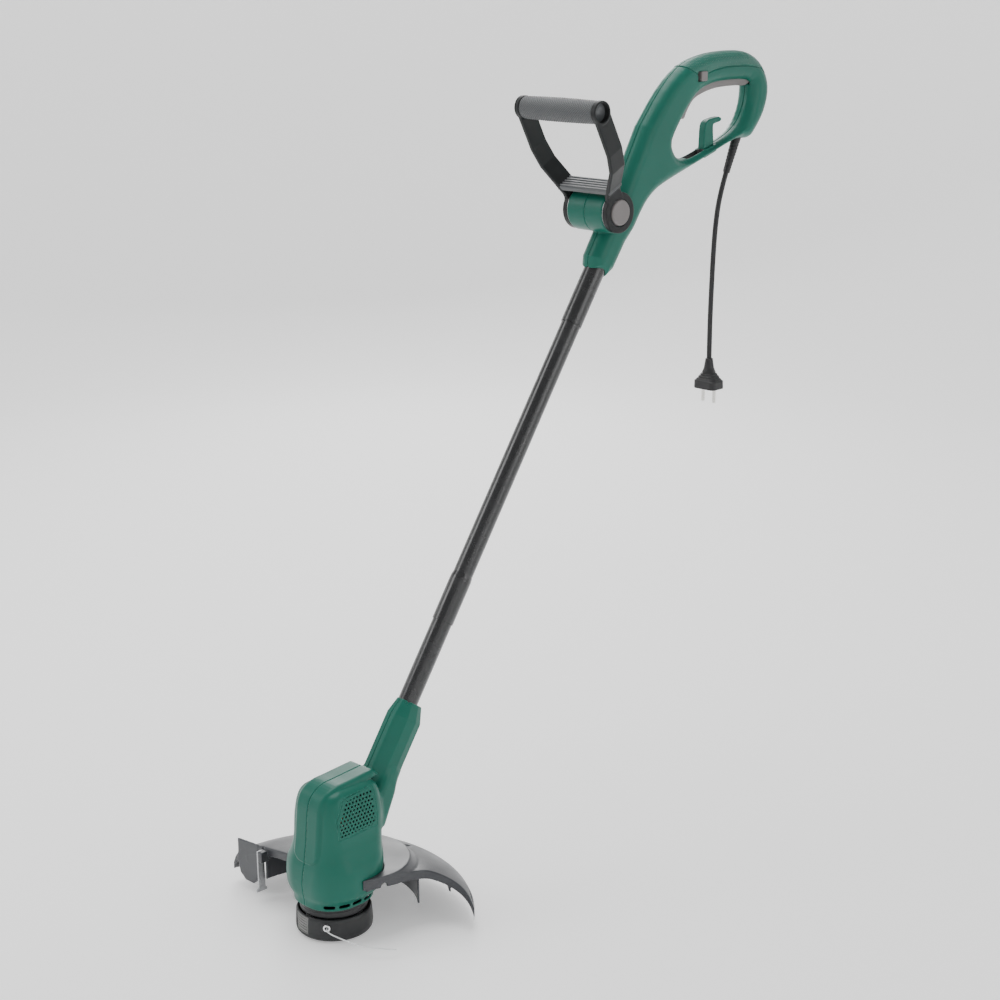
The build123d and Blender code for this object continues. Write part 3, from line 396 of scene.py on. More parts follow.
def round_join(a, b, radius):
    """Union with a fillet of that radius."""
    h = np.clip(0.5 + 0.5 * (b - a) / radius, 0, 1)
    return b * (1 - h) + a * h - radius * h * (1 - h)


def round_cut(a, b, radius):
    """a without b, its new edge eased by that radius."""
    return -round_join(-a, b, radius)


def prism(flat, offset, half, edge):
    """A flat outline's distance, thickened to +-half about offset = 0, with rounded edges."""
    u, v = flat + edge, np.abs(offset) - half + edge
    return np.minimum(np.maximum(u, v), 0) + length2(np.maximum(u, 0), np.maximum(v, 0)) - edge


def box3(x, y, z, centre, half, edge):
    u = np.abs(x - centre[0]) - half[0] + edge
    v = np.abs(y - centre[1]) - half[1] + edge
    w = np.abs(z - centre[2]) - half[2] + edge
    outside = np.sqrt(np.maximum(u, 0) ** 2 + np.maximum(v, 0) ** 2 + np.maximum(w, 0) ** 2)
    return outside + np.minimum(np.maximum(u, np.maximum(v, w)), 0) - edge


def polygon(p, q, points):
    """Signed distance to a closed outline, negative inside."""
    best, inside = None, None
    for (ax, ay), (bx, by) in zip(points, points[1:] + points[:1]):
        ex, ey = bx - ax, by - ay
        wx, wy = p - ax, q - ay
        t = np.clip((wx * ex + wy * ey) / (ex * ex + ey * ey), 0, 1)
        d = (wx - ex * t) ** 2 + (wy - ey * t) ** 2
        best = d if best is None else np.minimum(best, d)
        crossing = ((ay > q) != (by > q)) & (p < ex * (q - ay) / (ey if ey else 1e-9) + ax)
        inside = crossing if inside is None else inside ^ crossing
    return np.sqrt(best) * np.where(inside, -1.0, 1.0)


def ribbon(p, q, points):
    """Distance to an open line of straight runs."""
    best = None
    for (ax, ay), (bx, by) in zip(points, points[1:]):
        ex, ey = bx - ax, by - ay
        t = np.clip(((p - ax) * ex + (q - ay) * ey) / (ex * ex + ey * ey), 0, 1)
        d = (p - ax - ex * t) ** 2 + (q - ay - ey * t) ** 2
        best = d if best is None else np.minimum(best, d)
    return np.sqrt(best)


def smooth_line(points, closed=False, steps=6):
    """Catmull-Rom through given points, so that outlines are round."""
    count = len(points)
    places = [Vector(p) for p in points]
    result = []
    for i in range(count if closed else count - 1):
        if closed:
            a, b, c, d = (places[(i + k) % count] for k in (-1, 0, 1, 2))
        else:
            a, b, c, d = (places[min(max(i + k, 0), count - 1)] for k in (-1, 0, 1, 2))
        for s in range(steps):
            t = s / steps
            bend = (2 * a - 5 * b + 4 * c - d) * t ** 2
            point = 0.5 * (2 * b + (c - a) * t + bend + (3 * b - a - 3 * c + d) * t ** 3)
            result.append((point.x, point.y))
    if not closed:
        result.append(tuple(places[-1]))
    return result


CUBE_EDGES = [(a, b) for a in range(8) for b in range(a + 1, 8) if bin(a ^ b).count("1") == 1]


def surface_net(form, low, high, step):
    """Vertices and quads of form(x, y, z) = 0 inside a box: one vertex per crossed cell, set on the surface."""
    axes = [np.arange(l - step, h + 2 * step, step) for l, h in zip(low, high)]
    shape = tuple(len(a) for a in axes)
    x, y, z = (a.reshape([-1 if k == i else 1 for k in range(3)]) for i, a in enumerate(axes))
    field = np.ascontiguousarray(np.broadcast_to(form(x, y, z), shape)).astype(np.float32)
    field[0], field[-1], field[:, 0], field[:, -1], field[:, :, 0], field[:, :, -1] = (1.0,) * 6
    inside = field < 0
    cells = tuple(n - 1 for n in shape)
    corner = [((i >> 2) & 1, (i >> 1) & 1, i & 1) for i in range(8)]
    count = sum(inside[i:cells[0] + i, j:cells[1] + j, k:cells[2] + k].astype(np.int8) for i, j, k in corner)
    where = np.argwhere((count > 0) & (count < 8))
    index = np.full(cells, -1, np.int64)
    index[tuple(where.T)] = np.arange(len(where))
    total, hits = np.zeros((len(where), 3)), np.zeros(len(where))
    for a, b in CUBE_EDGES:
        ca, cb = np.array(corner[a]), np.array(corner[b])
        va, vb = field[tuple((where + ca).T)], field[tuple((where + cb).T)]
        crossed = (va < 0) != (vb < 0)
        t = np.where(crossed, va / np.where(crossed, va - vb, 1), 0)
        total += (ca + t[:, None] * (cb - ca)) * crossed[:, None]
        hits += crossed
    points = (where + total / hits[:, None]) * step + np.array([a[0] for a in axes])
    quads = []
    for axis in range(3):
        p, q = (axis + 1) % 3, (axis + 2) % 3
        first, second = [slice(None)] * 3, [slice(None)] * 3
        first[axis], second[axis] = slice(0, -1), slice(1, None)
        change = inside[tuple(first)] != inside[tuple(second)]
        edges = np.argwhere(change)
        edges = edges[(edges[:, p] > 0) & (edges[:, q] > 0)]
        outward = inside[tuple(edges.T)]
        ring = []
        for dp, dq in ((-1, -1), (0, -1), (0, 0), (-1, 0)):
            cell = edges.copy()
            cell[:, p] += dp
            cell[:, q] += dq
            ring.append(index[tuple(cell.T)])
        quad = np.stack(ring, 1)
        quad[~outward] = quad[~outward][:, ::-1]
        quads.append(quad[(quad >= 0).all(1)])
    return settle(form, points, step), np.concatenate(quads)


def settle(form, points, step):
    """Moves net points the short way on to the surface, by Newton's step along the gradient."""
    reach = step * 0.35
    for _ in range(2):
        x, y, z = points.T
        value = form(x, y, z)
        slope = np.stack([form(x + reach, y, z) - form(x - reach, y, z),
                          form(x, y + reach, z) - form(x, y - reach, z),
                          form(x, y, z + reach) - form(x, y, z - reach)], 1) / (2 * reach)
        size = np.maximum((slope ** 2).sum(1), 0.3)
        move = slope * (value / size)[:, None]
        far = np.linalg.norm(move, axis=1, keepdims=True)
        points = points - move * np.minimum(1, 0.5 * step / np.maximum(far, 1e-9))
    return points


def mesh_piece(name, points, faces, material, body, slot, nodes=()):
    """A smooth-shaded piece from points in mm."""
    mesh = bpy.data.meshes.new(name)
    mesh.from_pydata((np.asarray(points) * MM).tolist(), [], [list(map(int, f)) for f in faces])
    mesh.validate()
    mesh.polygons.foreach_set("use_smooth", [True] * len(mesh.polygons))
    mesh.materials.append(material)
    mesh.update()
    piece = bpy.data.objects.new(name, mesh)
    bpy.context.scene.collection.objects.link(piece)
    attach(piece, body)
    if nodes:
        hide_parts(*nodes)
    return piece


def formed(name, form, low, high, step, material, body, slot, nodes=()):
    points, faces = surface_net(form, low, high, step)
    return mesh_piece(name, points, faces, material, body, slot, nodes)


def second_material(piece, material, chosen):
    """Gives a second material to the faces whose centre, in mm, is chosen."""
    piece.data.materials.append(material)
    centres = np.empty(len(piece.data.polygons) * 3)
    piece.data.polygons.foreach_get("center", centres)
    x, y, z = centres.reshape(-1, 3).T / MM
    picked = np.asarray(chosen(x, y, z))
    index = np.zeros(len(picked), np.int32)
    piece.data.polygons.foreach_get("material_index", index)
    index[picked] = len(piece.data.materials) - 1
    piece.data.polygons.foreach_set("material_index", index)


# ------------------------------------------------------------------ the design's own lines, in mm
SHAFT_TILT = radians(34.26)
SHAFT_Y0 = -46.4
HUB = (464.7, 815.7)
GRIP = (398.7, 943.8)
GRIP_REACH = float(np.hypot(GRIP[0] - HUB[0], GRIP[1] - HUB[1]))
GRIP_Y, GRIP_Z = (GRIP[0] - HUB[0]) / GRIP_REACH, (GRIP[1] - HUB[1]) / GRIP_REACH
WALL = 2.8
SEAM = 0.12
SCREW_WELL_R = 3.65


def along_shaft(y, z):
    """Distances along the shaft's axis and across it."""
    y = y - SHAFT_Y0
    return y * sin(SHAFT_TILT) + z * cos(SHAFT_TILT), y * cos(SHAFT_TILT) - z * sin(SHAFT_TILT)


def from_shaft(along, across):
    return (SHAFT_Y0 + along * sin(SHAFT_TILT) + across * cos(SHAFT_TILT),
            along * cos(SHAFT_TILT) - across * sin(SHAFT_TILT))


def profile(at, points):
    """A smooth curve through (place, value) points, read at each place."""
    line = smooth_line(points, steps=8)
    return np.interp(at, [p[0] for p in line], [p[1] for p in line])


def both(a, b, radius):
    """Intersection with its new edge rounded."""
    return -round_join(-a, -b, radius)


def mirrored(points, faces):
    return points * np.array([-1, 1, 1]), faces[:, ::-1]


# ------------------------------------------------------------------ motor housing
# z, half width, front y, rear y, corner radius
HOUSING_SECTIONS = (
    (43.0, 44.6, -44.6, 44.6, 38.0),
    (51.0, 46.0, -45.0, 47.0, 38.0),
    (60.0, 54.0, -46.8, 51.0, 40.0),
    (75.0, 55.5, -47.4, 53.0, 40.0),
    (91.0, 53.5, -44.8, 54.0, 36.0),
    (106.0, 45.5, -40.0, 55.0, 28.0),
    (122.0, 39.8, -36.0, 55.5, 20.0),
    (150.0, 38.4, -33.0, 56.0, 17.0),
    (170.0, 36.0, -29.5, 54.0, 16.0),
    (181.0, 31.5, -24.0, 50.0, 14.0),
    (187.0, 25.0, -14.0, 42.0, 11.0),
)
BAND_FRONT = ((-43.4, 99), (-39.6, 124), (-37, 150), (-34, 169), (-26.5, 181.5), (-11.6, 189.4),
              (12, 191.6), (49, 194.6))
BAND_BACK = [(60, 186), (0, 172), (-20, 150), (-24, 99)]
BAND_HALF = 23.5
NECK_OUTLINE = ((-7, -19), (7, -19), (18, -6), (19.5, 8), (17, 19.5), (-17, 19.5), (-19.5, 8), (-18, -6))
NECK_ROUND = 1.8
NECK_TAPER = (287, 307, 0.30)
SHOULDER = ((158, 34, 1, 18, 9), (200, 27, 5, 14, 8), (226, 19, 8, 10, 6))
HOUSING_SCREWS = ((44, 62), (44, 112), (-14, 177))
VENT_PANEL = [(-8.5, 176), (-20, 155), (-19, 132.5), (37.5, 134.5), (36.5, 180.5)]
VENT_HOLE_R = 1.35
VENT_PITCH = 5.2


def rounded_rectangle(u, v, half_u, half_v, corner):
    a, b = np.abs(u) - half_u + corner, np.abs(v) - half_v + corner
    return length2(np.maximum(a, 0), np.maximum(b, 0)) + np.minimum(np.maximum(a, b), 0) - corner


def housing_body(x, y, z):
    half, front, rear, corner = (profile(z, [(s[0], s[k]) for s in HOUSING_SECTIONS]) for k in (1, 2, 3, 4))
    side = rounded_rectangle(x, y - (front + rear) / 2, half, (rear - front) / 2, corner)
    return both(side, z - HOUSING_SECTIONS[-1][0], 8.0)


def housing_neck(x, y, z):
    along, across = along_shaft(y, z)
    start, end, cut = NECK_TAPER
    scale = 1 - cut * np.clip((along - start) / (end - start), 0, 1)
    core = [(px * (1 - NECK_ROUND / 19), py * (1 - NECK_ROUND / 19)) for px, py in NECK_OUTLINE]
    side = polygon(x / scale, across / scale, core) * scale - NECK_ROUND
    return both(side, np.abs(along - 228.5) - 78.5, 1.0)


def housing_shoulder(x, y, z):
    along, across = along_shaft(y, z)
    place = [s[0] for s in SHOULDER]
    half, middle, depth, corner = (np.interp(along, place, [s[k] for s in SHOULDER]) for k in (1, 2, 3, 4))
    side = rounded_rectangle(x, across - middle, half, depth, corner)
    return both(side, np.abs(along - 192) - 34, 4.0)


def housing_band(x, y, z):
    outline = smooth_line(BAND_FRONT, steps=4) + BAND_BACK
    slab = prism(polygon(y, z, outline), x, BAND_HALF, 6.5)
    return both(slab, rounded_rectangle(x, z - 150, 25.5, 52, 22), 1.5)


def housing_outer(x, y, z):
    form = round_join(housing_body(x, y, z), housing_band(x, y, z), 1.6)
    fairing = round_join(housing_shoulder(x, y, z), housing_neck(x, y, z), 5.0)
    return round_join(form, fairing, 5.0)


def exhaust_slots(x, y, z):
    """Five rounded slots round each side of the bottom ring."""
    form = None
    for i in range(5):
        angle = radians(44 + 22.5 * i)
        sideways = x * cos(angle) + y * sin(angle)
        slot = length2(np.maximum(np.abs(sideways) - 4.9, 0), z - 48) - 2.1
        slot = np.maximum(slot, 32 - x * sin(angle) + y * cos(angle))
        form = slot if form is None else np.minimum(form, slot)
    return form


def shaft_bore(x, y, z, radius, first, last):
    along, across = along_shaft(y, z)
    return np.maximum(length2(x, across) - radius, np.abs(along - (first + last) / 2) - (last - first) / 2)


def vent_recess(x, y, z):
    return np.maximum(polygon(y, z, VENT_PANEL) - 1.5, 25 - x)


def housing_half(x, y, z, wells=False):
    """A shell as seen on the +X side, with its seam edge, slots, panel opening, bosses and screw wells."""
    outer = housing_outer(x, y, z)
    shell = np.maximum(outer, -np.maximum(housing_body(x, y, z) + WALL, z - HOUSING_SECTIONS[-1][0] + WALL))
    for cy, cz in HOUSING_SCREWS:
        shell = np.minimum(shell, np.maximum(np.maximum(length2(y - cy, z - cz) - 5.2, outer), 14 - x))
    shell = np.maximum(shell, -shaft_bore(x, y, z, 12.6, 205, 330))
    shell = round_cut(shell, exhaust_slots(x, y, z), 0.9)
    shell = np.maximum(shell, -vent_recess(x, y, z))
    for cy, cz in HOUSING_SCREWS if wells else ():
        shell = round_cut(shell, np.maximum(length2(y - cy, z - cz) - SCREW_WELL_R, 26.4 - x), 0.7)
    shell = np.maximum(shell, 43.0 - z)
    return both(shell, SEAM - x, 1.0)


def vent_panel(x, y, z):
    """The grille: round holes on a triangular grid."""
    outer = housing_outer(x, y, z)
    sheet = np.maximum(np.abs(outer + 1.0) - 0.95, polygon(y, z, VENT_PANEL) - 1.48)
    row = VENT_PITCH * 0.866
    number = np.round(z / row)
    shift = np.where(number % 2 == 0, 0.0, VENT_PITCH / 2)
    dy = y - shift - np.round((y - shift) / VENT_PITCH) * VENT_PITCH
    hole = length2(dy, z - number * row) - VENT_HOLE_R
    hole = np.maximum(hole, polygon(y, z, VENT_PANEL) + 1.6)
    return np.maximum(round_cut(sheet, hole, 0.35), 25 - x)


def make_housing():
    panel = surface_net(vent_panel, (28, -22, 130), (42, 40, 184), 0.45)
    for name in ("right", "left"):
        left = name == "left"

        def shell_form(x, y, z):
            return housing_half(x, y, z, wells=left)

        shell = surface_net(shell_form, (0, -50, 43), (58, 142, 292), 1.0)
        shell, grille = (mirrored(*shell), mirrored(*panel)) if left else (shell, panel)
        node = f"motor_housing_{name}"
        outside = mesh_piece(f"housing_shell_{name}", *shell, M["green"], "root", "green_plastic", (node,))
        # The shell's inner faces in near-black: painted shade inside the green walls.
        second_material(outside, M["dark"], lambda x, y, z: housing_outer(x, y, z) < -1.3)
        grille = mesh_piece(f"housing_grille_{name}", *grille, M["green_texture"], "root", "green_plastic")
        # Hole walls deeper than 0.5 mm in near-black: painted shade in the vent holes.
        second_material(grille, M["dark"], lambda x, y, z: housing_outer(x, y, z) < -0.5)


# ------------------------------------------------------------------ guard
GUARD_Y = -15.0
GUARD_R = 180.0
GUARD_WALL = 3.0
DOME = ((0, 78.6), (40, 77.5), (62, 77), (94, 73), (128, 67), (155, 55), (172, 42), (180, 28), (190, 8))
RIGHT_EDGE = ((142, 98), (131, 108), (121, 111), (108, 111), (95, 106), (84, 97), (73, 83), (67.5, 58), (66, 32),
              (61, 8), (57, -1))
LEFT_EDGE_Y = -14.0
PLATEAU = (35.0, 67.0, 79.0)
FLAP = [(-169, 64), (-170, 30), (-166, 18), (-156, 11.5), (-140, 11.5), (-132, 18), (-129, 30), (-128, 68)]
GUARD_SCREW_ANGLES = (20, 90, 160)


def guard_outline():
    tip = RIGHT_EDGE[0]
    start = np.arctan2(tip[1] - GUARD_Y, tip[0])
    rim = [(GUARD_R * cos(a), GUARD_Y + GUARD_R * sin(a)) for a in np.linspace(pi, start, 60)]
    rim[0] = (rim[0][0], LEFT_EDGE_Y)
    return rim + smooth_line(RIGHT_EDGE[1:], steps=3) + [(0, LEFT_EDGE_Y)]


GUARD_OUTLINE = guard_outline()


def guard_form(x, y, z):
    plan = polygon(x, y, GUARD_OUTLINE)
    radius = length2(x, y - GUARD_Y)
    over = (z - profile(radius, DOME)) * 0.93
    body = housing_body(x, y, z)
    skin = both(over, plan, 2.2)
    void = np.maximum(over + GUARD_WALL, plan + GUARD_WALL)
    form = np.maximum(np.maximum(skin, -void), -over - 10)
    slope = (length2(x, y - PLATEAU[0]) - PLATEAU[1]) * 0.77 + (z - PLATEAU[2]) * 0.64
    plateau = both(slope, z - PLATEAU[2], 1.2)
    form = round_join(form, np.maximum(np.maximum(plateau, -over - 2), plan), 1.5)
    for rib, depth in ((113.25, 40), (151.25, 16)):
        wall = np.maximum(np.abs(radius - rib) - 1.25, np.maximum(over + 1, -over - depth))
        form = round_join(form, np.maximum(wall, plan + 0.5), 1.0)
    collar = np.maximum(np.maximum(body - 4.0, np.abs(z - 70.5) - 6.5), np.maximum(3 - y, plan))
    form = np.minimum(form, collar)
    flap = prism(polygon(x, z, FLAP), y + 12.7, 1.3, 0.6)
    form = round_join(form, flap, 1.2)
    form = np.minimum(form, box3(x, y, z, (-117, -9.5, 60), (6, 4.5, 6), 0.8))
    form = np.minimum(form, np.maximum(box3(x, y, z, (-112, -18, 60), (4, 6, 7), 1.0), over))
    form = np.maximum(form, -(body - 0.35))
    for angle in GUARD_SCREW_ANGLES:
        c, s = cos(radians(angle)), sin(radians(angle))
        out = x * c + (y - 2) * s
        form = np.maximum(form, -np.maximum(length2(-x * s + (y - 2) * c, z - 66) - 4.2, 58.6 - out))
    return np.maximum(form, -box3(x, y, z, (-117, -19.5, 47), (1.6, 6.6, 30), 0.1))


def make_guard():
    guard = formed("debris_guard", guard_form, (-184, -28, 9), (146, 168, 80), 1.15, M["guard"], "root",
                   "black_plastic", ("guard",))

    def smooth_faces(x, y, z):
        plan = polygon(x, y, GUARD_OUTLINE)
        radius = length2(x, y - GUARD_Y)
        under = z < profile(radius, DOME) - 1.5
        return (plan > -4.5) | under | (length2(x, y - PLATEAU[0]) < PLATEAU[1] + 1)

    second_material(guard, M["guard_smooth"], smooth_faces)


# ------------------------------------------------------------------ rear handle
HANDLE_CREST = [(542, 915), (579, 957), (617, 985), (657, 996), (698, 999.4), (740, 997.4), (768, 985), (784.5, 964),
                (788.5, 941), (780, 915), (762, 892), (749, 883.4)]
HANDLE_BELLY = [(722, 883), (652, 861), (588, 841), (561, 830), (541, 814), (521, 787)]
HANDLE_LOOP = [(594, 892), (598, 877), (610, 868.5), (630, 867), (662, 875.5), (701, 886.5), (729, 901), (745, 922),
               (751, 947), (744, 959), (694, 960.7), (666, 957.2), (645, 949.5), (627, 935), (611, 917)]
HANDLE_HALF = 17.5
HANDLE_ROUND = 15.5
GRIP_GROOVES = ([(606, 990), (634, 972.5)],
                [(655, 974.3), (669, 977.5), (685, 979.7), (706, 980.3), (731, 979.5), (749, 977.4), (764, 974.4),
                 (771, 969)])
DIMPLED = [(606, 991), (634, 974), (655, 976), (685, 981.5), (731, 981), (764, 976), (776, 985), (760, 1006),
           (600, 1006)]
TRIGGER_OUTLINE = [(621, 917.5), (626, 925.5), (632.5, 934), (641, 941.5), (655, 947), (674, 951.3), (695, 953.4),
                   (726, 953.6), (744, 952.6), (756, 958.5), (756, 972), (742, 974), (728, 967), (690, 965.5),
                   (660, 961), (641, 953.5), (629, 944.5), (620.5, 934), (614, 923), (614.5, 919.5)]
TRIGGER_SLOT = [(623, 913), (650, 940), (742, 950), (742, 952), (760.5, 955), (760.5, 977.5), (726, 975.5),
                (690, 973.5), (658, 969.5), (638, 962.5), (626.5, 953), (617, 943), (610, 931), (609.5, 921),
                (612.5, 915)]
TRIGGER_HALF = 6.8
TRIGGER_PIN = (748, 966)
CORD_SLOT = [(627, 840), (663, 850), (663, 900), (627, 890)]
HOOK = [(664, 867.5), (663.5, 891), (665, 906), (670, 911.6), (678, 913.6), (694, 915.2), (698.5, 911.4),
        (694, 908.6), (683, 906.6), (681.5, 900), (681.5, 870.5)]
HANDLE_SCREWS = ((560, 868), (572, 926), (722, 986), (768, 925), (600, 855))
LEAD_EXIT_MM = Vector(LEAD_EXIT) / MM


def handle_outline():
    """The rear handle's side outline, from the shaft's socket over the grip and back."""
    front = [from_shaft(946, 21.5), from_shaft(908, 20.5), from_shaft(893, 13), from_shaft(893, -14),
             from_shaft(906, -21), from_shaft(1004, -23)]
    return front + smooth_line(HANDLE_CREST + HANDLE_BELLY, steps=3)


def hub_cylinder(x, y, z, radius, last, edge):
    """A cylinder on the hub axis out to an X station, its rim eased."""
    return both(length2(y - HUB[0], z - HUB[1]) - radius, np.abs(x) - last, edge)


def sleeve_distance(x, y, z):
    """Distances along the strain relief's axis and out from it."""
    dy, dz = y - LEAD_EXIT_MM.y, z - LEAD_EXIT_MM.z
    along = dy * SLEEVE_DIRECTION.y + dz * SLEEVE_DIRECTION.z
    return along, length2(x, dy * SLEEVE_DIRECTION.z - dz * SLEEVE_DIRECTION.y)


def handle_half(x, y, z, wells=False):
    """A shell of the rear handle as seen on the +X side."""
    outline = polygon(y, z, handle_outline())
    loop = polygon(y, z, smooth_line(HANDLE_LOOP, closed=True, steps=3))
    flat = both(outline, -loop, 3.0)
    form = prism(flat, x, HANDLE_HALF, HANDLE_ROUND)
    groove = np.minimum(*[ribbon(y, z, line) for line in GRIP_GROOVES]) - 0.75
    form = round_cut(form, np.maximum(groove, -form - 1.2), 0.5)
    form = round_join(form, hub_cylinder(x, y, z, 26.5, 29.5, 2.5), 3.5)
    form = np.minimum(form, hub_cylinder(x, y, z, 19.5, 35.5, 0.8))
    form = np.maximum(form, -np.maximum(length2(y - HUB[0], z - HUB[1]) - 17.0, 8.0 - x))
    form = np.maximum(form, -shaft_bore(x, y, z, 13.7, 870, 1004))
    slot = prism(polygon(y, z, TRIGGER_SLOT), x, TRIGGER_HALF + 0.6, 0.3)
    form = round_cut(form, slot, 1.2)
    form = round_cut(form, box3(x, y, z, (0, 643.5, 970.5), (60, 9.0, 6.55), 1.0), 0.8)
    form = round_cut(form, prism(polygon(y, z, CORD_SLOT), x, 6.0, 1.0), 1.0)
    along, out = sleeve_distance(x, y, z)
    form = np.maximum(form, -np.maximum(out - 6.55, -13 - along))
    seat = box3(x, y, z, (0, 672.5, 872), (9, 12, 13), 1.0)
    form = np.minimum(form, np.maximum(seat, flat + 0.4))
    form = np.maximum(form, -prism(polygon(y, z, HOOK), x, 5.5, 0.3))
    for cy, cz in HANDLE_SCREWS if wells else ():
        form = round_cut(form, np.maximum(length2(y - cy, z - cz) - SCREW_WELL_R, 14.4 - x), 0.7)
    return both(form, SEAM - x, 1.0)


def make_rear_handle():
    for name in ("right", "left"):
        left = name == "left"

        def shell_form(x, y, z):
            return handle_half(x, y, z, wells=left)

        shell = surface_net(shell_form, (0, 434, 726), (37, 792, 1002), 0.9)
        piece = mesh_piece(f"handle_shell_{name}", *(mirrored(*shell) if left else shell), M["green"], "root",
                           "green_plastic", (f"rear_handle_{name}",))
        second_material(piece, M["green_dimpled"], lambda x, y, z: polygon(y, z, DIMPLED) < 0)
        # The cord slot's walls in near-black: painted shade in the recess.
        second_material(piece, M["dark"], lambda x, y, z: (polygon(y, z, CORD_SLOT) < 1) & (np.abs(x) < 6.2))


def make_handle_details():
    def trigger_form(x, y, z):
        form = prism(polygon(y, z, smooth_line(TRIGGER_OUTLINE, closed=True, steps=3)), x, TRIGGER_HALF, 2.6)
        return np.maximum(form, -(length2(y - TRIGGER_PIN[0], z - TRIGGER_PIN[1]) - 2.05))

    formed("trigger_lever", trigger_form, (-8, 611, 914), (8, 760, 977), 0.8, M["grey"], "trigger_body",
           "grey_plastic", ("trigger",))

    def slider_form(x, y, z):
        form = box3(x, y, z, (0, 646, 970.5), (19.0, 6.0, 6.3), 1.6)
        for step in (-3.0, 0.0, 3.0):
            groove = length2(y - 646 - step, np.abs(x) - 19.3) - 0.75
            form = round_cut(form, np.maximum(groove, np.abs(z - 970.5) - 4.4), 0.3)
        return form

    formed("lock_off_bar", slider_form, (-20, 639, 963), (20, 653, 978), 0.45, M["grey"], "lock_off",
           "grey_plastic", ("lock_off_slider",))

    def hook_form(x, y, z):
        return prism(polygon(y, z, smooth_line(HOOK, closed=True, steps=2)), x, 5.4, 1.5)

    formed("cord_hook", hook_form, (-6, 660, 865), (6, 701, 917), 0.6, M["green"], "root", "green_plastic",
           ("cable_hook",))


# ------------------------------------------------------------------ lathe work
def lathe(name, outline, origin, direction, material, body, slot, nodes=(), segments=64):
    """A turned piece: (along, radius) pairs in mm, spun round an axis; closed where the radius is nought."""
    direction = Vector(direction).normalized()
    side = direction.orthogonal().normalized()
    other = direction.cross(side)
    points, faces = [], []
    for along, radius in outline:
        for i in range(segments):
            turn = 2 * pi * i / segments
            points.append(Vector(origin) + direction * along + (side * cos(turn) + other * sin(turn)) * radius)
    for j in range(len(outline) - 1):
        for i in range(segments):
            a, b = j * segments + i, j * segments + (i + 1) % segments
            faces.append((a, b, b + segments, a + segments))
    last = (len(outline) - 1) * segments
    faces.append(tuple(reversed(range(segments))))
    faces.append(tuple(range(last, last + segments)))
    piece = mesh_piece(name, points, faces, material, body, slot, nodes)
    piece.data.set_sharp_from_angle(angle=radians(38))
    return piece


def eased(outline, step=0.5):
    """The same profile with each corner cut to a small round."""
    result = [outline[0]]
    for before, corner, after in zip(outline, outline[1:], outline[2:]):
        before, corner, after = Vector(before), Vector(corner), Vector(after)
        reach = min(step, 0.4 * (corner - before).length, 0.4 * (after - corner).length)
        a = corner + (before - corner).normalized() * reach
        b = corner + (after - corner).normalized() * reach
        middle = (a + b) / 4 + corner / 2
        result += [tuple(a), tuple(middle), tuple(b)]
    return result + [outline[-1]]


# ------------------------------------------------------------------ front handle
ARM_PATH = [(33.7, 12), (36, 29), (47, 47), (58.5, 66), (64, 90), (64, GRIP_REACH)]
STRAP_HALF_WIDTH = 13.0
STRAP_HALF = 2.75
GRIP_BORE_R = 11.8
BRIDGE_HALF = 44.0


def grip_frame(y, z):
    """Distances from the hub axis towards the grip, and square to that."""
    y, z = y - HUB[0], z - HUB[1]
    return y * GRIP_Y + z * GRIP_Z, -y * GRIP_Z + z * GRIP_Y


def arms_form(x, y, z):
    """Both straps with their eyes, the hollow grip tube and its collars."""
    reach, across = grip_frame(y, z)
    x = np.abs(x)
    strap = prism(ribbon(x, reach, ARM_PATH) - STRAP_HALF, across, STRAP_HALF_WIDTH, 1.2)
    eye = both(both(length2(y - HUB[0], z - HUB[1]) - 25.7, x - 37.4, 1.4), 30.0 - x, 0.4)
    form = round_join(strap, eye, 2.0)
    bore = np.maximum(length2(y - HUB[0], z - HUB[1]) - 19.6, x - 35.6)
    mouth = np.maximum(length2(y - HUB[0], z - HUB[1]) - 17.1, 35 - x)
    form = round_cut(form, np.minimum(bore, mouth), 0.4)
    out = length2(y - GRIP[0], z - GRIP[1])
    form = round_join(form, both(out - 14.4, np.abs(x - 63.9) - 3.5, 0.8), 0.8)
    form = np.minimum(form, np.maximum(out - 13.0, x - 64))
    return round_cut(form, np.maximum(out - GRIP_BORE_R, 10 - x), 0.8)


def bridge_form(x, y, z):
    """The cross web between the straps, with raised ribs along it."""
    reach, across = grip_frame(y, z)
    web = box3(x, reach, across, (0, 36.2, 0), (BRIDGE_HALF, 3.1, 12.8), 1.4)
    wave = np.abs(across / 4.8 - np.round(across / 4.8)) * 4.8
    ribs = np.maximum(wave - 1.1, np.maximum(np.abs(across) - 11.5, np.abs(x) - BRIDGE_HALF + 3))
    ribs = np.maximum(ribs, np.abs(reach - 37) - 3.6)
    return round_join(web, ribs, 0.7)


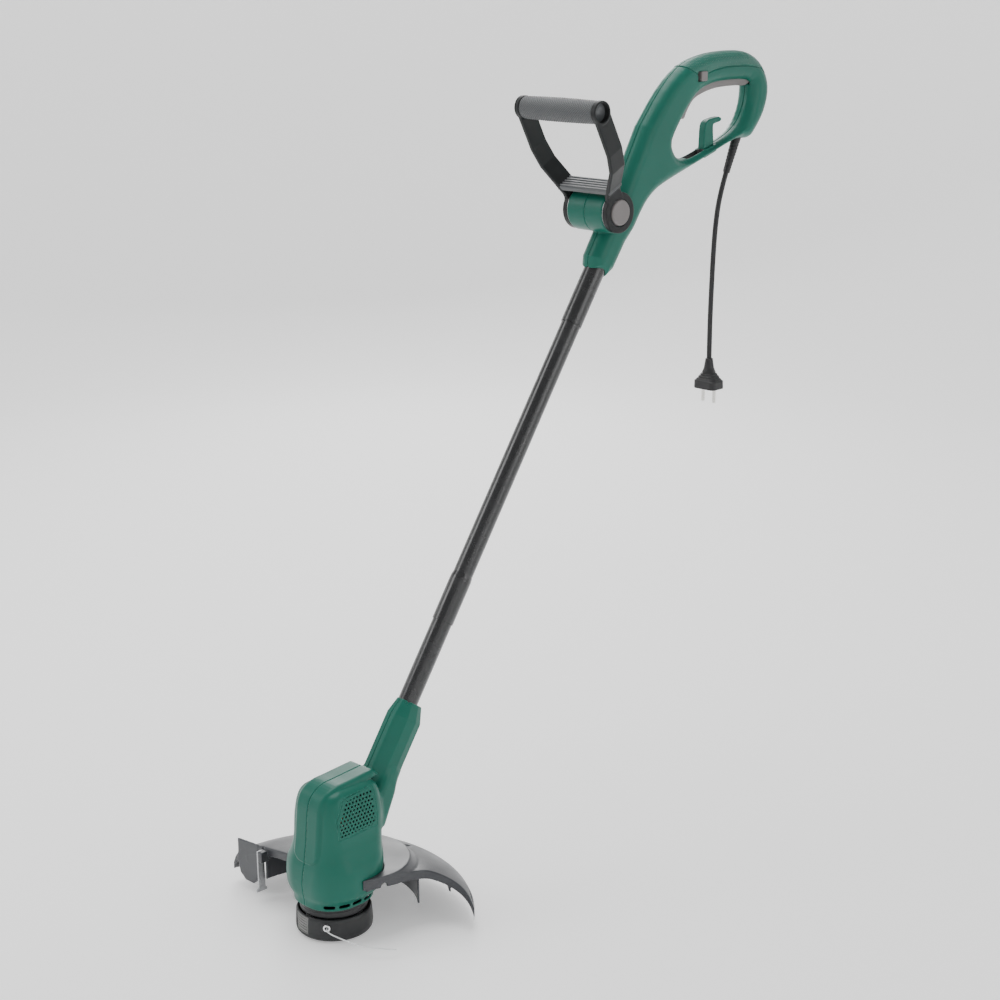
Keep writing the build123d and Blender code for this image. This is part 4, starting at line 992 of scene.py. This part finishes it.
def make_front_handle():
    arms = formed("front_handle_arms", arms_form, (-70, 380, 788), (70, 494, 962), 0.9, M["strap"], "front_handle",
                  "black_plastic", ("front_handle_frame",))
    # The grip tube's bore in near-black: painted shade inside the tube.
    second_material(arms, M["dark"], lambda x, y, z: (length2(y - GRIP[0], z - GRIP[1]) < 12.4) & (np.abs(x) < 66))
    bridge = formed("front_handle_bridge", bridge_form, (-45, 430, 838), (45, 466, 860), 0.7, M["grip"],
                    "front_handle", "grip_plastic")
    # The bridge's outer face and rib crests lighter: painted highlight.
    second_material(bridge, M["ridge"], lambda x, y, z: grip_frame(y, z)[0] > 40.2)
    make_grip_sleeve()
    for side, name in ((1, "right"), (-1, "left")):
        cap = [(24, 9), (24, 16.9), (33, 16.9), (33, 16.4), (37.2, 16.4), (38.9, 15.6), (39.4, 14), (39.1, 12),
               (38.9, 8), (38.8, 3), (38.8, 0.05)]
        lathe(f"adjust_cap_{name}", eased(cap, 0.35), (0, *HUB), (side, 0, 0), M["grey"], f"button_{name}",
              "grey_plastic", (f"adjust_button_{name}",))


def make_grip_sleeve():
    """The soft sleeve: a bowed tube whose surface is cut by two families of helical grooves."""
    half, around, along = 60.2, 288, 232
    starts, lead = 26, 2.55
    points = []
    for j in range(along + 1):
        s = -half + 2 * half * j / along
        bow = 14.95 - 0.95 * (s / half) ** 2
        end = min(1.0, (half - abs(s)) / 1.2)
        for i in range(around):
            turn = 2 * pi * i / around
            a = (turn * starts / (2 * pi) + s / lead / 1.45) % 1.0
            b = (turn * starts / (2 * pi) - s / lead / 1.45) % 1.0
            groove = min(abs(a - 0.5), abs(b - 0.5)) * 2
            height = min(1.0, groove / 0.5)
            radius = 13.1 + (bow - 13.1 - 0.75 * (1 - height)) * end ** 0.5
            points.append((s, GRIP[0] + radius * cos(turn), GRIP[1] + radius * sin(turn)))
    faces = []
    for j in range(along):
        for i in range(around):
            a, b = j * around + i, j * around + (i + 1) % around
            faces.append((a + around, b + around, b, a))
    faces.append(tuple(reversed(range(around))))
    faces.append(tuple(range(along * around, (along + 1) * around)))
    mesh_piece("knurled_grip", points, faces, M["grip"], "front_handle", "grip_plastic", ("front_grip_sleeve",))


# ------------------------------------------------------------------ strain relief and plug
def make_strain_relief():
    """Tapered rubber sleeve with flexing grooves, held in the handle by its flange."""
    outline = [(-12, 3.6), (-12, 6.4), (-9, 6.4), (-9, 8.9), (-5, 8.9), (-5, 6.4), (3, 6.4)]
    count, pitch = 8, 4.6
    for i in range(count):
        start = 5.5 + i * pitch
        radius = 6.4 - 1.7 * start / 48
        low = 6.4 - 1.7 * (start + pitch) / 48
        outline += [(start, radius), (start + 0.5, radius - 0.4), (start + 1.3, radius - 0.4), (start + 1.8, radius),
                    (start + pitch - 0.3, low)]
    outline += [(47.4, 4.75), (48, 4.2), (48, 3.5)]
    return lathe("strain_relief", eased(outline, 0.3), LEAD_EXIT_MM, SLEEVE_DIRECTION, M["rubber"], "root", "lead_rubber",
                 ("cord_sleeve",))


PLUG_TOP = Vector(LEAD_ROUTE[-1]) / MM


def plug_form(x, y, z):
    """Moulded plug: a tapered neck, a waisted body with finger ribs and a flat face."""
    down = PLUG_TOP.z - z
    x, y = x - PLUG_TOP.x, y - PLUG_TOP.y
    neck_r = np.interp(down, (0, 16, 30), (5.0, 7.4, 9.0))
    neck = both(length2(x, y) - neck_r, np.abs(down - 15.5) - 15.3, 0.8)
    half_x = np.interp(down, (16, 30, 31, 42), (7.0, 16.6, 18.2, 18.4))
    half_y = np.interp(down, (16, 30, 31, 42), (7.0, 12.2, 13.1, 13.4))
    side = rounded_rectangle(x, y, half_x, half_y, 7.0)
    body = both(side, np.abs(down - 29) - 13, 1.2)
    form = round_join(neck, body, 3.0)
    for level in (20.0, 23.4, 26.8):
        form = round_cut(form, length2(side + 0.1, down - level) - 0.8, 0.4)
    return form


def make_plug():
    low = (PLUG_TOP.x - 19, PLUG_TOP.y - 14, PLUG_TOP.z - 43)
    high = (PLUG_TOP.x + 19, PLUG_TOP.y + 14, PLUG_TOP.z + 1)
    return formed("mains_plug", plug_form, low, high, 0.6, M["rubber"], "root", "lead_rubber", ("plug_body",))


# ------------------------------------------------------------------ spool head
CUP_R = 46.6
LATCH_ANGLE = radians(-100)
EYELET_ANGLE = radians(-51.3)
EYELET_Z = 20.5


def cup_form(x, y, z):
    """The spool cup: a thin drum with a rounded foot, windows for the latches and a boss for the eyelet."""
    radius = length2(x, y)
    side = np.interp(z, (2, 5, 10, 27, 30.4), (CUP_R - 2.6, CUP_R - 0.6, CUP_R, CUP_R - 0.9, CUP_R - 2.4))
    outer = both(radius - side, np.abs(z - 16.2) - 14.2, 1.6)
    inner = np.maximum(radius - side + 2.6, 4.6 - z)
    form = np.maximum(outer, -inner)
    form = np.maximum(form, 15.4 - radius)
    for turn in (0, pi):
        c, s = cos(LATCH_ANGLE + turn), sin(LATCH_ANGLE + turn)
        window = prism(rounded_rectangle(-x * s + y * c, z - 17.75, 13.2, 11.4, 1.6), x * c + y * s - 44, 6, 0.2)
        form = round_cut(form, window, 0.6)
    c, s = cos(EYELET_ANGLE), sin(EYELET_ANGLE)
    out, across = x * c + y * s, -x * s + y * c
    boss = both(length2(across, z - EYELET_Z) - 6.6, np.abs(out - 44) - 2.4, 1.0)
    form = round_join(form, np.maximum(boss, out - CUP_R + 0.15), 1.0)
    return np.maximum(form, -np.maximum(length2(across, z - EYELET_Z) - 3.25, 40 - out))


def latch_form(turn):
    c, s = cos(LATCH_ANGLE + turn), sin(LATCH_ANGLE + turn)

    def form(x, y, z):
        out, across = x * c + y * s, -x * s + y * c
        face = out - np.sqrt(np.maximum(45.5 ** 2 - across ** 2, 1.0)) + 0.1
        pad = both(rounded_rectangle(across, z - 17.75, 13.0, 11.2, 1.6), face, 0.9)
        pad = both(pad, 41.3 - out, 0.5)
        wave = np.abs(z - 17.75 - np.round((z - 19.55) / 3.6) * 3.6 - 1.8)
        ridge = np.maximum(wave - 0.75, -face - 1.15)
        return round_cut(pad, np.maximum(ridge, np.abs(across) - 11.4), 0.4)

    return form


def hub_form(x, y, z):
    """The drive disc above the cup, with a stepped rim and a central boss."""
    radius = length2(x, y)
    disc = both(radius - 41.0, np.abs(z - 36) - 5.5, 1.2)
    form = round_join(disc, both(radius - 11, np.abs(z - 49) - 8.5, 0.8), 1.5)
    form = round_cut(form, length2(radius - 41.2, z - 37.2) - 0.9, 0.5)
    return np.maximum(form, 4.02 - radius)


def make_spool_head():
    formed("spool_drum", cup_form, (-48, -48, 1), (48, 48, 31), 0.8, M["black"], "cutting_head", "head_plastic",
           ("spool_cup",))
    formed("drive_disc", hub_form, (-42, -42, 30), (42, 42, 58), 0.9, M["black"], "cutting_head", "head_plastic",
           ("head_hub",))
    for turn, name in ((0, "front"), (pi, "rear")):
        angle = LATCH_ANGLE + turn
        middle = (43.4 * cos(angle), 43.4 * sin(angle))
        low, high = (middle[0] - 15, middle[1] - 15, 6), (middle[0] + 15, middle[1] + 15, 29.5)
        formed(f"latch_pad_{name}", latch_form(turn), low, high, 0.5, M["pale"], f"latch_{name}", "pale_plastic",
               (f"spool_latch_{name}",))
    direction = (cos(EYELET_ANGLE), sin(EYELET_ANGLE), 0)
    eyelet = [(42, 2.1), (42, 3.2), (45.6, 3.2), (45.6, 4.55), (46.2, 4.6), (46.9, 4.4), (47.4, 3.9), (47.6, 3.2),
              (47.4, 2.6), (46.8, 2.2), (43, 2.1)]
    ring = lathe("steel_eyelet", eyelet, (0, 0, EYELET_Z), direction, M["eyelet"], "cutting_head", "eyelet_metal",
                 ("line_eyelet",), 48)
    # The eyelet's inner part in near-black: painted shade in its bore.
    second_material(ring, M["dark"], lambda x, y, z: x * direction[0] + y * direction[1] < 46.4)
    tap = [(0, 0.05), (0, 13.2), (0.6, 14.4), (2.0, 15.0), (4.8, 15.0), (4.8, 17.4), (6.8, 17.4), (6.8, 10), (21.8, 10),
           (21.8, 7.4), (10, 7.4)]
    lathe("tap_button", eased(tap, 0.3), (0, 0, 0), (0, 0, 1), M["black"], "tap", "head_plastic", ("tap_knob",))


# ------------------------------------------------------------------ the CAD pieces that stay
KEPT = {
    "steel": ("housing_screws", "guard_screws", "cutter_screw", "handle_screws", "trigger_pin", "drive_shaft",
              "index_washers", "lower_bearing", "upper_bearing", "feed_spring", "button_springs"),
    "blade": ("line_cutter",),
    "tube": ("lower_tube", "middle_tube", "upper_tube"),
    "rubber": ("supply_wire", "lead_in_sleeve"),
    "nickel": ("plug_pins",),
    "copper": ("field_coils", "commutator"),
    "lamination": ("field_core", "armature"),
    "dark": ("lower_bracket", "upper_bracket", "power_switch", "carbon_brushes", "cooling_fan", "line_spool"),
    "nylon": ("wound_line",),
}


def finish_kept_nodes():
    for key, names in KEPT.items():
        for name in names:
            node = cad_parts[name]
            node.data.materials.clear()
            node.data.materials.append(M[key])
            for face in node.data.polygons:
                face.material_index = 0


# ------------------------------------------------------------------ build
make_housing()
make_guard()
make_rear_handle()
make_handle_details()
make_front_handle()
strain_relief = make_strain_relief()
plug = make_plug()
make_spool_head()
finish_kept_nodes()
lead.data.materials.append(M["rubber"])
cutting_line.data.materials.append(M["nylon"])

bpy.context.view_layer.update()
